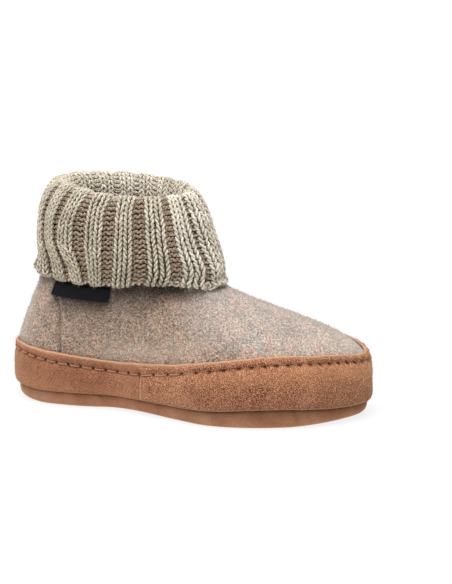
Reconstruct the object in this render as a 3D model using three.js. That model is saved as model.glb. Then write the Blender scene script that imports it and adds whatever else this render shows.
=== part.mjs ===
// A child's wool slipper with a turned-down knitted cuff, right foot, in millimetres.
// +X runs from heel to toe, -Y is the outer side of the foot, +Z is up and the floor is z = 0.

import * as THREE from 'three';

// Felt shell
const FELT_LENGTH = 176;
const FELT_BACK_X = -88.5;
const BALL_HALF_WIDTH = 33.4;
const FELT_WALL = 3;

// Sole
const FEATHER_HEIGHT = 8;
const FEATHER_RISE = 2.4;
const FEATHER_RISE_X = 50;
const FEATHER_RISE_SPREAD = 27;
const OUTSOLE_PROUD = 0.4;
const OUTSOLE_EDGE_RADIUS = 4.5;
const OUTSOLE_EDGE_ANGLES = [0, 30, 60, 90];
const OUTSOLE_TOP_CHAMFER = 0.7;
const TOE_SPRING = 1.5;
const TOE_SPRING_START = 56;
const TOE_SPRING_END = 88;
const ARCH_RISE = 0.6;
const ARCH_X = -22;
const ARCH_HALF_LENGTH = 20;
const INSOLE_THICKNESS = 3.5;

// Suede rand
const STITCH_DROP = 4;
const RAND_JOIN_COLUMN = 18.5;

// Knitted cuff
const KNIT_THICKNESS = 3.6;
const SLOT_GAP = 0.6;
const INNER_HEM_LEVEL = 1.87;
const RIB_COUNT = 16;
const RIB_PHASE_COLUMNS = 0.27;
const RIB_COLUMNS = 4;
const CUFF_COLUMNS = RIB_COUNT * RIB_COLUMNS;
const RIB_RELIEF = 0.7;
const INNER_RIB_RELIEF = 0.35;
const CUFF_PATH_STEPS = 18;

// Woven tab
const TAB_THICKNESS = 1.2;
const TAB_COLUMNS = 6;
const TAB_ROWS = 3;

// Clearance between pieces that meet; the rand's joins take theirs as a share of the round
const GAP = 0.3;
const JOIN_HALF_GAP = 0.00035;

// The felt's faces are read by a place around the foot, 0 to 1 from the heel's back, and by a level
const COLUMNS = 72;
const SHOULDER_LEVEL = 1;
const COLLAR_LEVEL = 2;
const FELT_LEVELS = [0, 0.5, 1, 1.1, 1.22, 1.36, 1.52, 1.68, 1.84, 2];
const NORMAL_STEP = 0.002;
const HALVINGS = 28;

// Sections of the felt shell from heel to toe. along: share of the felt's length; outer, inner: half widths
// as shares of the ball's; band: top edge of the rand; shoulder: height where the upright wall starts to
// turn in; rise: pull of the wall's direction; arrive, reach: slope in degrees and pull at the collar;
// collar: share of the collar's round, from its back, that the section runs to; hem: the cuff hem's height.
const SECTIONS = [
  { at: 'heel_back', along: 0, outer: 0, inner: 0,
    band: 28.2, shoulder: 29, rise: 7, arrive: 70, reach: 12, collar: 0, hem: 64.2 },
  { at: 'heel_curve', along: 0.025, outer: 0.39, inner: 0.39,
    band: 29.3, shoulder: 28, rise: 8, arrive: 73, reach: 12, collar: 0.05, hem: 64.2 },
  { at: 'heel_wide', along: 0.093, outer: 0.653, inner: 0.653,
    band: 28.8, shoulder: 27, rise: 10, arrive: 78, reach: 13, collar: 0.12, hem: 64.2 },
  { at: 'heel_front', along: 0.196, outer: 0.689, inner: 0.683,
    band: 27.2, shoulder: 26, rise: 12, arrive: 82, reach: 14, collar: 0.2, hem: 64.2 },
  { at: 'waist', along: 0.316, outer: 0.63, inner: 0.644,
    band: 25.3, shoulder: 26, rise: 15, arrive: 83, reach: 16, collar: 0.275, hem: 64.2 },
  { at: 'midfoot', along: 0.474, outer: 0.808, inner: 0.778,
    band: 27.6, shoulder: 27, rise: 17, arrive: 76, reach: 18, collar: 0.345, hem: 63.4 },
  { at: 'ball', along: 0.627, outer: 1, inner: 1.003,
    band: 32.4, shoulder: 27, rise: 16.5, arrive: 60, reach: 22, collar: 0.4, hem: 62 },
  { at: 'toe_root', along: 0.808, outer: 0.778, inner: 0.985,
    band: 35.2, shoulder: 27, rise: 13.5, arrive: 36, reach: 30, collar: 0.44, hem: 61.2 },
  { at: 'toe_curve', along: 0.948, outer: 0.269, inner: 0.76,
    band: 33.7, shoulder: 27, rise: 13.2, arrive: 26, reach: 33, collar: 0.47, hem: 61 },
  { at: 'toe_tip', along: 1, outer: -0.24, inner: 0.24,
    band: 31.5, shoulder: 27, rise: 12.8, arrive: 23, reach: 34, collar: 0.5, hem: 61 },
];

// The felt's collar edge. tilt: how much higher an oval's inner side lies than its middle.
const COLLAR_OVAL = { back: -73, front: 12, half: 25, zBack: 72, zFront: 63, tilt: 0 };

// Ovals that the cuff's knit passes through, from the hem's skirt over the crest and down inside.
const CUFF_OVALS = [
  { ring: 'skirt', back: -77.5, front: 17, half: 31, zBack: 72, zFront: 71, tilt: 0 },
  { ring: 'belly', back: -77, front: 13, half: 31, zBack: 87, zFront: 84, tilt: 0 },
  { ring: 'shoulder', back: -73.5, front: 6.2, half: 27.5, zBack: 104.5, zFront: 102, tilt: 0.8 },
  { ring: 'crest', back: -66.5, front: 1.2, half: 23.5, zBack: 111, zFront: 107.5, tilt: 0.9 },
  { ring: 'lip', back: -61, front: -2, half: 19.5, zBack: 106, zFront: 103, tilt: 0.8 },
  { ring: 'throat', back: -64, front: 1, half: 19, zBack: 88, zFront: 85, tilt: 0 },
];

// Ovals of the space between the knit's two layers, from the inner layer over the fold to the outer one.
const LINING_OVALS = [
  { ring: 'inner_lining', back: -67.8, front: 4.6, half: 22.6, zBack: 88, zFront: 85, tilt: 0 },
  { ring: 'fold', back: -69, front: 3.6, half: 23.5, zBack: 102, zFront: 99, tilt: 0.8 },
  { ring: 'outer_lining', back: -73.4, front: 9.4, half: 27.4, zBack: 87, zFront: 84, tilt: 0 },
];

// The rand's outer face, from its lower edge to the stitched groove and the lip above it.
// share: place between the lower edge and the groove; drop: distance below the top edge; out: thickness.
const RAND_PROFILE = [
  { row: 'turned_edge', share: 0, out: 1.3 },
  { row: 'low', share: 0.06, out: 2.2 },
  { row: 'bulge', share: 0.35, out: 2.6 },
  { row: 'upper_bulge', share: 0.8, out: 2.3 },
  { row: 'groove', drop: STITCH_DROP, out: 1.5 },
  { row: 'lip', drop: 2, out: 1.9 },
  { row: 'top_edge', drop: 0, out: 1 },
];

// Corners of the woven tab: share of the collar's round, and heights of its lower and upper edge.
const TAB_ENDS = [
  { end: 'rear', collar: 0.112, low: 56, high: 62.8 },
  { end: 'front', collar: 0.25, low: 55.5, high: 62.8 },
];

const STATIONS = 2 * (SECTIONS.length - 1);
const UP = new THREE.Vector3(0, 0, 1);

const lerp = THREE.MathUtils.lerp;
const smoothstep = THREE.MathUtils.smoothstep;
const series = (count, at) => Array.from({ length: count }, (_, index) => at(index));
const aroundFoot = series(COLUMNS, (column) => (column + 0.5) / COLUMNS);

// Height of the felt's lower edge, where felt and rand meet the outsole.
function featherHeight(x) {
  const offset = (x - FEATHER_RISE_X) / FEATHER_RISE_SPREAD;
  return FEATHER_HEIGHT + FEATHER_RISE * Math.exp(-offset * offset);
}

// Lift of the outsole's underside: flat at heel and forefoot, a low arch between and a toe spring.
function soleLift(x) {
  const arch = Math.max(0, 1 - ((x - ARCH_X) / ARCH_HALF_LENGTH) ** 2);
  return ARCH_RISE * arch + TOE_SPRING * smoothstep(x, TOE_SPRING_START, TOE_SPRING_END);
}

// The section rows run down the outer side to the toe and back along the inner side, as one closed round.
function station(index) {
  const outerSide = index < SECTIONS.length;
  const row = SECTIONS[outerSide ? index : STATIONS - index];
  return {
    x: FELT_BACK_X + FELT_LENGTH * row.along,
    y: BALL_HALF_WIDTH * (outerSide ? -row.outer : row.inner),
    collarShift: (outerSide ? row.collar : 1 - row.collar) - index / STATIONS,
    row,
  };
}

const stations = series(STATIONS, station);
function closedCurve(type, columns) {
  return new THREE.CatmullRomCurve3(stations.map((s) => new THREE.Vector3(...columns(s))), true, type);
}
const footCurve = closedCurve('centripetal', ({ x, y, row }) => [x, y, row.band]);
const wallCurve = closedCurve('catmullrom', ({ row, collarShift }) => [row.shoulder, row.rise, collarShift]);
const leadCurve = closedCurve('catmullrom', ({ row }) => [row.arrive, row.reach, row.hem]);

// A level or sloping oval, read by its share of the round from the back, outer side first.
function ovalCurve({ back, front, half, zBack, zFront, tilt }) {
  const points = series(STATIONS, (index) => {
    const angle = (2 * Math.PI * index) / STATIONS;
    const share = (1 - Math.cos(angle)) / 2;
    const side = -Math.sin(angle);
    return new THREE.Vector3(lerp(back, front, share), half * side, lerp(zBack, zFront, share) + tilt * side);
  });
  return new THREE.CatmullRomCurve3(points, true);
}

const collarCurve = ovalCurve(COLLAR_OVAL);
const collarCentre = new THREE.Vector3((COLLAR_OVAL.back + COLLAR_OVAL.front) / 2, 0, 0);
const collarShare = (u) => u + wallCurve.getPoint(u).z;

// Where a rising function of one value reaches a target, between two ends.
function solveRising(rising, target, lowEnd, highEnd) {
  let low = lowEnd;
  let high = highEnd;
  for (let step = 0; step < HALVINGS; step += 1) {
    const middle = (low + high) / 2;
    if (rising(middle) < target) low = middle;
    else high = middle;
  }
  return (low + high) / 2;
}

// Place around the foot whose section runs to a given share of the collar.
const footAtCollar = (share) => solveRising(collarShare, share, 0, 1);

// Outer face of the felt. level 0 is its lower edge: up to the shoulder it is upright, and then it bends
// over to the collar.
function feltPoint(uRaw, level) {
  const u = THREE.MathUtils.euclideanModulo(uRaw, 1);
  const foot = footCurve.getPoint(u);
  const [shoulder, rise] = wallCurve.getPoint(u).toArray();
  if (level <= SHOULDER_LEVEL) {
    return new THREE.Vector3(foot.x, foot.y, lerp(featherHeight(foot.x), shoulder, level / SHOULDER_LEVEL));
  }
  const [arrive, reach] = leadCurve.getPoint(u).toArray();
  const collar = collarCurve.getPointAt(THREE.MathUtils.euclideanModulo(collarShare(u), 1));
  const inward = collarCentre.clone().sub(collar).setZ(0).normalize();
  const slope = THREE.MathUtils.degToRad(arrive);
  const arrival = inward.multiplyScalar(Math.cos(slope)).addScaledVector(UP, Math.sin(slope));
  const start = new THREE.Vector3(foot.x, foot.y, shoulder);
  const leave = start.clone().addScaledVector(UP, rise);
  const near = collar.clone().addScaledVector(arrival, -reach);
  const bend = (level - SHOULDER_LEVEL) / (COLLAR_LEVEL - SHOULDER_LEVEL);
  return new THREE.CubicBezierCurve3(start, leave, near, collar).getPoint(bend);
}

function feltNormal(u, level) {
  const low = Math.max(0, level - NORMAL_STEP);
  const high = Math.min(COLLAR_LEVEL, level + NORMAL_STEP);
  const around = feltPoint(u + NORMAL_STEP, level).sub(feltPoint(u - NORMAL_STEP, level));
  const upward = feltPoint(u, high).sub(feltPoint(u, low));
  return around.cross(upward).normalize();
}

// A point that stands off the felt's outer face by a distance, outwards where it is positive.
function offFelt(u, level, distance) {
  return feltPoint(u, level).addScaledVector(feltNormal(u, level), distance);
}

// A point past the felt's collar edge by a gap, along the felt's own slope there.
function pastCollar(u, distance, gap) {
  const slope = feltPoint(u, COLLAR_LEVEL).sub(feltPoint(u, COLLAR_LEVEL - NORMAL_STEP)).normalize();
  return offFelt(u, COLLAR_LEVEL, distance).addScaledVector(slope, gap);
}

// Level of the felt's outer face at a height.
const levelAtHeight = (u, height) => solveRising((level) => feltPoint(u, level).z, height, 0, COLLAR_LEVEL);

// A closed solid from loops of points. Each loop is joined to the next one point by point, and the stack of
// loops either closes on itself or is capped by strips that pair a loop's first half with its second half.
function loopSolid(loops, closed) {
  const count = loops[0].length;
  const positions = loops.flat().flatMap((point) => point.toArray());
  const indices = [];
  const quad = (a, b, c, d) => indices.push(a, b, c, a, c, d);
  const spans = closed ? loops.length : loops.length - 1;
  for (let loop = 0; loop < spans; loop += 1) {
    const here = loop * count;
    const next = ((loop + 1) % loops.length) * count;
    for (let i = 0; i < count; i += 1) {
      const j = (i + 1) % count;
      quad(here + i, here + j, next + j, next + i);
    }
  }
  if (!closed) {
    const last = (loops.length - 1) * count;
    for (let i = 0; i < count / 2 - 1; i += 1) {
      const pair = count - 1 - i;
      quad(i, pair, pair - 1, i + 1);
      quad(last + i, last + i + 1, last + pair - 1, last + pair);
    }
  }
  const geometry = new THREE.BufferGeometry();
  geometry.setAttribute('position', new THREE.Float32BufferAttribute(positions, 3));
  geometry.setIndex(signedVolume(positions, indices) < 0 ? indices.reverse() : indices);
  return geometry;
}

// Six times the volume that the triangles enclose, negative where they face inwards.
function signedVolume(positions, indices) {
  const corner = (index) => new THREE.Vector3().fromArray(positions, 3 * index);
  let volume = 0;
  for (let i = 0; i < indices.length; i += 3) {
    volume += corner(indices[i]).dot(corner(indices[i + 1]).cross(corner(indices[i + 2])));
  }
  return volume;
}

// Felt shell: outer rings from the lower edge to the collar, then the inner rings back down.
function upperGeometry() {
  const face = (distance) => FELT_LEVELS.map((level) => aroundFoot.map((u) => offFelt(u, level, distance)));
  return loopSolid([...face(0), ...face(-FELT_WALL).reverse()], true);
}

// Outsole: rings from the flat underside round the lower edge and up to the feather line.
function outsoleGeometry() {
  const ring = (inset, height) => aroundFoot.map((u) => {
    const point = offFelt(u, 0, OUTSOLE_PROUD - inset);
    return point.setZ(height(point.x));
  });
  const edge = OUTSOLE_EDGE_ANGLES.map((degrees) => {
    const angle = THREE.MathUtils.degToRad(degrees);
    const inset = OUTSOLE_EDGE_RADIUS * (1 - Math.sin(angle));
    const height = OUTSOLE_EDGE_RADIUS * (1 - Math.cos(angle));
    return ring(inset, (x) => height + soleLift(x));
  });
  const top = (x) => featherHeight(x) - GAP;
  const side = ring(0, (x) => top(x) - OUTSOLE_TOP_CHAMFER);
  return loopSolid([...edge, side, ring(OUTSOLE_TOP_CHAMFER, top)], false);
}

// Insole: a felt footbed that fills the shell's foot and lies on the outsole.
function insoleGeometry() {
  const ring = (lift) => aroundFoot.map((u) => {
    const point = offFelt(u, 0, -FELT_WALL - GAP);
    return point.setZ(featherHeight(point.x) + lift);
  });
  return loopSolid([ring(0), ring(INSOLE_THICKNESS)], false);
}

// One stretch of the rand, between two places around the foot: its section stands GAP off the felt.
function randGeometry(from, to) {
  const steps = Math.round((to - from) * COLUMNS);
  const sections = series(steps + 1, (step) => {
    const u = lerp(from + JOIN_HALF_GAP, to - JOIN_HALF_GAP, step / steps);
    const foot = footCurve.getPoint(THREE.MathUtils.euclideanModulo(u, 1));
    const bottom = featherHeight(foot.x);
    const rows = RAND_PROFILE.map(({ share, drop, out }) => {
      const height = drop === undefined ? lerp(bottom, foot.z - STITCH_DROP, share) : foot.z - drop;
      return { level: levelAtHeight(u, height), out };
    });
    const outside = rows.map(({ level, out }) => offFelt(u, level, GAP + out));
    const inside = rows.map(({ level }) => offFelt(u, level, GAP));
    return [...outside, ...inside.reverse()];
  });
  return loopSolid(sections, false);
}

// Knitted cuff: its section rises from the hem over the crest and down inside the collar, as one layer folded
// over, and the felt's edge stands between its two sides. Ribs are raised on both faces.
function cuffGeometry() {
  const ovals = CUFF_OVALS.map(ovalCurve);
  const linings = LINING_OVALS.map(ovalCurve);
  const shares = series(CUFF_COLUMNS, (column) => (column + RIB_PHASE_COLUMNS) / CUFF_COLUMNS);
  const columns = shares.map((share) => {
    const u = footAtCollar(share);
    const hem = levelAtHeight(u, leadCurve.getPoint(u).z);
    const inside = -FELT_WALL - SLOT_GAP;
    const path = [
      offFelt(u, hem, SLOT_GAP + KNIT_THICKNESS),
      ...ovals.map((oval) => oval.getPointAt(share)),
      offFelt(u, COLLAR_LEVEL, inside - KNIT_THICKNESS),
      offFelt(u, INNER_HEM_LEVEL, inside - KNIT_THICKNESS),
    ];
    const face = new THREE.CatmullRomCurve3(path).getPoints(CUFF_PATH_STEPS);
    const slot = [
      offFelt(u, INNER_HEM_LEVEL, inside),
      offFelt(u, (INNER_HEM_LEVEL + COLLAR_LEVEL) / 2, inside),
      pastCollar(u, inside, SLOT_GAP),
      ...linings.map((oval) => oval.getPointAt(share)),
      pastCollar(u, SLOT_GAP, SLOT_GAP),
      offFelt(u, (hem + COLLAR_LEVEL) / 2, SLOT_GAP),
      offFelt(u, hem, SLOT_GAP),
    ];
    return { face, slot };
  });
  const crestStep = CUFF_PATH_STEPS / 2;
  const ribbed = columns.map(({ face, slot }, column) => {
    const before = columns[(column + CUFF_COLUMNS - 1) % CUFF_COLUMNS].face;
    const after = columns[(column + 1) % CUFF_COLUMNS].face;
    const side = column % RIB_COLUMNS < RIB_COLUMNS / 2 ? -1 : 1;
    const raised = face.map((point, step) => {
      const around = after[step].clone().sub(before[step]);
      const along = face[Math.min(step + 1, CUFF_PATH_STEPS)].clone().sub(face[Math.max(step - 1, 0)]);
      const relief = side * (step <= crestStep ? RIB_RELIEF : INNER_RIB_RELIEF);
      return point.clone().addScaledVector(around.cross(along).normalize(), relief);
    });
    return [...raised, ...slot];
  });
  return loopSolid(ribbed, true);
}

// Woven tab: a thin plate that follows the felt under the hem, from its rear to its front end.
function tabGeometry() {
  const [rear, front] = TAB_ENDS;
  const sections = series(TAB_COLUMNS + 1, (column) => {
    const share = column / TAB_COLUMNS;
    const u = footAtCollar(lerp(rear.collar, front.collar, share));
    const levels = series(TAB_ROWS + 1, (row) => {
      const low = lerp(rear.low, front.low, share);
      const high = lerp(rear.high, front.high, share);
      return levelAtHeight(u, lerp(low, high, row / TAB_ROWS));
    });
    const outside = levels.map((level) => offFelt(u, level, GAP + TAB_THICKNESS));
    const inside = levels.map((level) => offFelt(u, level, GAP));
    return [...outside, ...inside.reverse()];
  });
  return loopSolid(sections, false);
}

const suede = new THREE.MeshStandardMaterial({ color: 0xb5713f, roughness: 0.95, metalness: 0 });
const soleSuede = new THREE.MeshStandardMaterial({ color: 0xa45c34, roughness: 0.85, metalness: 0 });
const felt = new THREE.MeshStandardMaterial({ color: 0xa79888, roughness: 1, metalness: 0 });
const innerFelt = new THREE.MeshStandardMaterial({ color: 0x9c8f80, roughness: 1, metalness: 0 });
const knit = new THREE.MeshStandardMaterial({ color: 0xb3a58a, roughness: 1, metalness: 0 });
const tabWeave = new THREE.MeshStandardMaterial({ color: 0x1d2029, roughness: 0.8, metalness: 0 });

const joinOuter = RAND_JOIN_COLUMN / COLUMNS;
const PIECES = [
  { name: 'outsole', geometry: outsoleGeometry(), material: soleSuede },
  { name: 'insole', geometry: insoleGeometry(), material: innerFelt },
  { name: 'upper', geometry: upperGeometry(), material: felt },
  { name: 'rand_toe', geometry: randGeometry(joinOuter, 1 - joinOuter), material: suede },
  { name: 'rand_heel', geometry: randGeometry(1 - joinOuter, 1 + joinOuter), material: suede },
  { name: 'cuff', geometry: cuffGeometry(), material: knit },
  { name: 'label_tab', geometry: tabGeometry(), material: tabWeave },
];

const slipper = new THREE.Group();
for (const { name, geometry, material } of PIECES) {
  geometry.computeVertexNormals();
  const mesh = new THREE.Mesh(geometry, material);
  mesh.name = name;
  slipper.add(mesh);
}

// The origin is the middle of the slipper's box, at the floor.
const middle = new THREE.Box3().setFromObject(slipper).getCenter(new THREE.Vector3());
slipper.position.set(-middle.x, -middle.y, 0);
slipper.updateMatrixWorld(true);

export default slipper;
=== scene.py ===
"""Looks of a child's wool slipper with a turned-down knitted cuff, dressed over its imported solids."""

import math

import bpy
import numpy as np
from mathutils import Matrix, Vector, noise


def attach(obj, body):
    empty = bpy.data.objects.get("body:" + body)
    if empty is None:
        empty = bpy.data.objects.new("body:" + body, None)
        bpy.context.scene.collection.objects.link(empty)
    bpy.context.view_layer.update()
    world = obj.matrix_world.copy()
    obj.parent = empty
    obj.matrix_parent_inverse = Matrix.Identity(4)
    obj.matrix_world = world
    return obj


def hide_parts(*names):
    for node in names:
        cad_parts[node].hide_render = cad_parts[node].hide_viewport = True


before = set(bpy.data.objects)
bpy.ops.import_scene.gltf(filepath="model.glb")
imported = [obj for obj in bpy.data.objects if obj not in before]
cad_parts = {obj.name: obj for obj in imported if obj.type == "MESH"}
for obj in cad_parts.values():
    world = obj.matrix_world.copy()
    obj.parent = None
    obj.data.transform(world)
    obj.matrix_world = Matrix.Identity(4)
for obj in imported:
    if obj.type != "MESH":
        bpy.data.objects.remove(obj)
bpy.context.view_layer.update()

BODY = "root"

# Shape tables and distances are in millimetres, in the slipper's own drawing frame: +X runs from heel to
# toe, -Y is the outer side and z = 0 is the floor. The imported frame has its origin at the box's middle.
MM = 0.001
FRAME_SHIFT = np.array((0.562, -0.521, 0.0))

# View of the camera: the angles that the photograph was taken from, and the picture's size in pixels
VIEW_AZIMUTH = 18.0
VIEW_ELEVATION = 14.0
VIEW_DISTANCE = 0.95
VIEW_TARGET = (0.01783, 0.00509, 0.05719)
FOCAL_PIXELS = 1947.5
PICTURE_HEIGHT = 584
SENSOR = 36.0

# Light and floor
LIGHT_AZIMUTH = 0.0
LIGHT_ELEVATION = 72.0
LIGHT_SPREAD = 60.0
LIGHT_STRENGTH = 4.4
SURROUND = 0.3
FLOOR_TONE = "#6c6c6c"
FLOOR_GLOW = 0.82

# Felt shell
FELT_LENGTH = 176.0
FELT_BACK_X = -88.5
BALL_HALF_WIDTH = 33.4
FELT_WALL = 3.0
FELT_COLUMNS = 420
FELT_LEVELS = 52
FELT_INNER_LEVELS = 14
FELT_LOW_LEVELS = 4
SHOULDER_LEVEL = 1.0
COLLAR_LEVEL = 2.0
NORMAL_STEP = 0.002
HALVINGS = 26

# Sole
FEATHER_HEIGHT = 8.0
FEATHER_RISE = 2.4
FEATHER_RISE_X = 50.0
FEATHER_RISE_SPREAD = 27.0
OUTSOLE_PROUD = 0.4
OUTSOLE_EDGE_RADIUS = 4.5
OUTSOLE_TOP_CHAMFER = 0.7
TOE_SPRING = 1.5
TOE_SPRING_START = 56.0
TOE_SPRING_END = 88.0
ARCH_RISE = 0.6
ARCH_X = -22.0
ARCH_HALF_LENGTH = 20.0
INSOLE_THICKNESS = 3.5
# Edge of the insole from below: distance inwards and height
INSOLE_EDGE = (
    (0.0, 0.0), (0.0, INSOLE_THICKNESS - 1.0), (0.3, INSOLE_THICKNESS - 0.3), (1.0, INSOLE_THICKNESS),
)
# Room left between two pieces
GAP = 0.3

# Suede rand and its stitches
STITCH_DROP = 4.0
STITCH_PITCH = 6.1
STITCH_RADIUS = 0.3
RAND_JOIN = 18.5 / 72
JOIN_HALF_GAP = 0.0003
RAND_COLUMNS = 1080
RAND_ROWS = 34

# Knitted cuff
KNIT_THICKNESS = 3.6
SLOT_GAP = 0.6
# Shares of the round, and how far the hem is raised there
HEM_RAISES = ((0.26, 0.0), (0.34, 2.0), (0.41, 1.8), (0.44, 0.5), (0.48, 0.8), (0.52, 0.4), (0.6, 0.0))
HEM_TUCK = 1.2
HEM_LIFT = 1.6
CREST_SWELL = 1.6
CREST_SWELL_SHARE = 0.12
CREST_SWELL_SPREAD = 0.08
INNER_HEM_LEVEL = 1.87
RIB_COUNT = 16
RIB_RELIEF = 0.9
CLOSED_SINK = 2.2
KNIT_SHARE = 0.6
VALLEY_SHARE = 0.262
COURSE_PITCH = 2.62
YARN_RADIUS = 0.6
YARN_SIDES = 6
LOOP_STEPS = 12
LOOP_DEPTH = 0.6
LOOP_HEIGHT = 0.94
PURL_HEIGHT = 0.7
CAST_ON_REACH = 0.45
LOOP_NECK = 0.235
CORD_TURNS = 76
CORD_STEPS = 10
CORD_RISE = 0.012
CORD_DEPTH = 1.1
CORD_RADIUS = 0.6

SECTION_COLUMNS = ("along", "outer", "inner", "band", "shoulder", "rise", "arrive", "reach", "collar", "hem")
# Sections of the felt shell from heel to toe, as shares of the felt's length and of the ball's half width,
# heights and pulls in millimetres, slopes in degrees and shares of the collar's round.
SECTIONS = (
    (0.000, 0.000, 0.000, 28.2, 29, 7.0, 70, 12, 0.000, 64.2),
    (0.025, 0.390, 0.390, 29.3, 28, 8.0, 73, 12, 0.050, 64.2),
    (0.093, 0.653, 0.653, 28.8, 27, 10.0, 78, 13, 0.120, 64.2),
    (0.196, 0.689, 0.683, 27.2, 26, 12.0, 82, 14, 0.200, 64.2),
    (0.316, 0.630, 0.644, 25.3, 26, 15.0, 83, 16, 0.275, 64.2),
    (0.474, 0.808, 0.778, 27.6, 27, 17.0, 76, 18, 0.345, 63.4),
    (0.627, 1.000, 1.003, 32.4, 27, 16.5, 60, 22, 0.400, 62.0),
    (0.808, 0.778, 0.985, 35.2, 27, 13.5, 36, 30, 0.440, 61.2),
    (0.948, 0.269, 0.760, 33.7, 27, 13.2, 26, 33, 0.470, 61.0),
    (1.000, -0.240, 0.240, 31.5, 27, 12.8, 23, 34, 0.500, 61.0),
)

OVAL_COLUMNS = ("back", "front", "half", "z_back", "z_front", "tilt")
COLLAR_OVAL = (-73.0, 12.0, 25.0, 72.0, 63.0, 0.0)
# Ovals that the cuff's knit passes through, from the hem's skirt over the crest and down inside.
CUFF_OVALS = (
    (-77.5, 17.0, 31.0, 72.0, 71.0, 0.0),
    (-77.0, 13.0, 31.0, 87.0, 84.0, 0.0),
    (-73.5, 6.2, 27.5, 104.5, 102.0, 0.8),
    (-66.5, 1.2, 23.5, 111.0, 107.5, 0.9),
    (-61.0, -2.0, 19.5, 106.0, 103.0, 0.8),
    (-64.0, 1.0, 19.0, 88.0, 85.0, 0.0),
)

# The rand's outer face: share of the way from its lower edge up to the stitched groove, and thickness; then
# share of the way down from its top edge to the groove, and thickness.
RAND_BODY = ((0.0, 1.3), (0.06, 2.2), (0.35, 2.6), (0.8, 2.3))
RAND_TOP = ((1.0, 1.5), (0.5, 1.9), (0.0, 1.0))

# Ends of the woven tab: share of the collar's round, and heights of its lower and upper edge.
TAB_ENDS = ((0.112, 56.0, 62.8), (0.25, 55.5, 62.8))
TAB_THICKNESS = 1.2


def smooth(x, low, high):
    """0 below low, 1 above high and a smooth step between."""
    t = np.clip((np.asarray(x, float) - low) / (high - low), 0, 1)
    return t * t * (3 - 2 * t)


def between(x, start, full, fade, end):
    """0 up to start, 1 from full to fade, 0 again from end, and smooth steps between."""
    return smooth(x, start, full) * (1 - smooth(x, fade, end))


def bell(x, width):
    """1 at zero, falling off softly over a width on both sides."""
    return np.exp(-(np.asarray(x) / width) ** 2)


def unit(vectors):
    """Vectors brought to length 1."""
    return vectors / np.linalg.norm(vectors, axis=-1, keepdims=True)


def catmull(points, t, closed, centripetal=True):
    """Reads a Catmull-Rom curve through points, stacked on the first axis, at places t from 0 to 1."""
    points = np.asarray(points, float)
    t = np.asarray(t, float)
    if closed:
        place = np.mod(t, 1) * len(points)
        first = np.floor(place).astype(int)
        corners = [points[(first + step) % len(points)] for step in (-1, 0, 1, 2)]
    else:
        place = np.clip(t, 0, 1) * (len(points) - 1)
        first = np.minimum(np.floor(place).astype(int), len(points) - 2)
        padded = np.concatenate(([2 * points[0] - points[1]], points, [2 * points[-1] - points[-2]]))
        corners = [padded[first + step] for step in (0, 1, 2, 3)]
    weight = (place - first).reshape(t.shape + (1,) * (points.ndim - 1))
    p0, p1, p2, p3 = corners
    leave, arrive = (p2 - p0) / 2, (p3 - p1) / 2
    if centripetal:
        d0, d1, d2 = (
            np.sqrt(np.linalg.norm(b - a, axis=-1, keepdims=True)) for a, b in ((p0, p1), (p1, p2), (p2, p3))
        )
        leave = d1 * ((p1 - p0) / d0 - (p2 - p0) / (d0 + d1) + (p2 - p1) / d1)
        arrive = d1 * ((p2 - p1) / d1 - (p3 - p1) / (d1 + d2) + (p3 - p2) / d2)
    square = -3 * p1 + 3 * p2 - 2 * leave - arrive
    cube = 2 * p1 - 2 * p2 + leave + arrive
    return p1 + weight * (leave + weight * (square + weight * cube))


def solve_rising(rising, target, low, high):
    """Where a rising function reaches a target, place by place."""
    target = np.asarray(target, float)
    low, high = np.full(target.shape, float(low)), np.full(target.shape, float(high))
    for _ in range(HALVINGS):
        middle = (low + high) / 2
        below = rising(middle) < target
        low, high = np.where(below, middle, low), np.where(below, high, middle)
    return (low + high) / 2


STATION_ROWS = [dict(zip(SECTION_COLUMNS, row)) for row in SECTIONS]
STATION_COUNT = 2 * (len(SECTIONS) - 1)


def section_rounds():
    """The section rows as closed rounds: down the outer side to the toe and back along the inner side."""
    foot, wall, lead = [], [], []
    for index in range(STATION_COUNT):
        outer_side = index < len(SECTIONS)
        row = STATION_ROWS[index if outer_side else STATION_COUNT - index]
        y = BALL_HALF_WIDTH * (-row["outer"] if outer_side else row["inner"])
        shift = (row["collar"] if outer_side else 1 - row["collar"]) - index / STATION_COUNT
        foot.append((FELT_BACK_X + FELT_LENGTH * row["along"], y, row["band"]))
        wall.append((row["shoulder"], row["rise"], shift))
        lead.append((row["arrive"], row["reach"], row["hem"]))
    return np.array(foot), np.array(wall), np.array(lead)


FOOT, WALL, LEAD = section_rounds()


def oval_reader(row, divisions=200):
    """A function that reads an oval by its share of the round from the back, outer side first."""
    oval = dict(zip(OVAL_COLUMNS, row))
    angle = 2 * math.pi * np.arange(STATION_COUNT) / STATION_COUNT
    share, side = (1 - np.cos(angle)) / 2, -np.sin(angle)
    x = oval["back"] + (oval["front"] - oval["back"]) * share
    z = oval["z_back"] + (oval["z_front"] - oval["z_back"]) * share + oval["tilt"] * side
    points = np.stack((x, oval["half"] * side, z), axis=-1)
    places = np.linspace(0, 1, divisions + 1)
    steps = np.linalg.norm(np.diff(catmull(points, places, closed=True), axis=0), axis=-1)
    lengths = np.concatenate(([0], np.cumsum(steps)))

    def read(at):
        """Points at shares of the oval's length."""
        return catmull(points, np.interp(np.mod(at, 1) * lengths[-1], lengths, places), closed=True)

    return read


read_collar = oval_reader(COLLAR_OVAL)
COLLAR_CENTRE = np.array(((COLLAR_OVAL[0] + COLLAR_OVAL[1]) / 2, 0.0, 0.0))


def foot_round(u):
    """The felt's lower line: x and y, and the height of the rand's top edge there."""
    return catmull(FOOT, u, closed=True)


def lead_round(u):
    """Slope and pull of the felt at the collar, and the height of the cuff's hem."""
    return catmull(LEAD, u, closed=True, centripetal=False)


def wall_round(u):
    """Height of the shoulder, pull above it, and drift from the foot to the collar."""
    return catmull(WALL, u, closed=True, centripetal=False)


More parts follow.
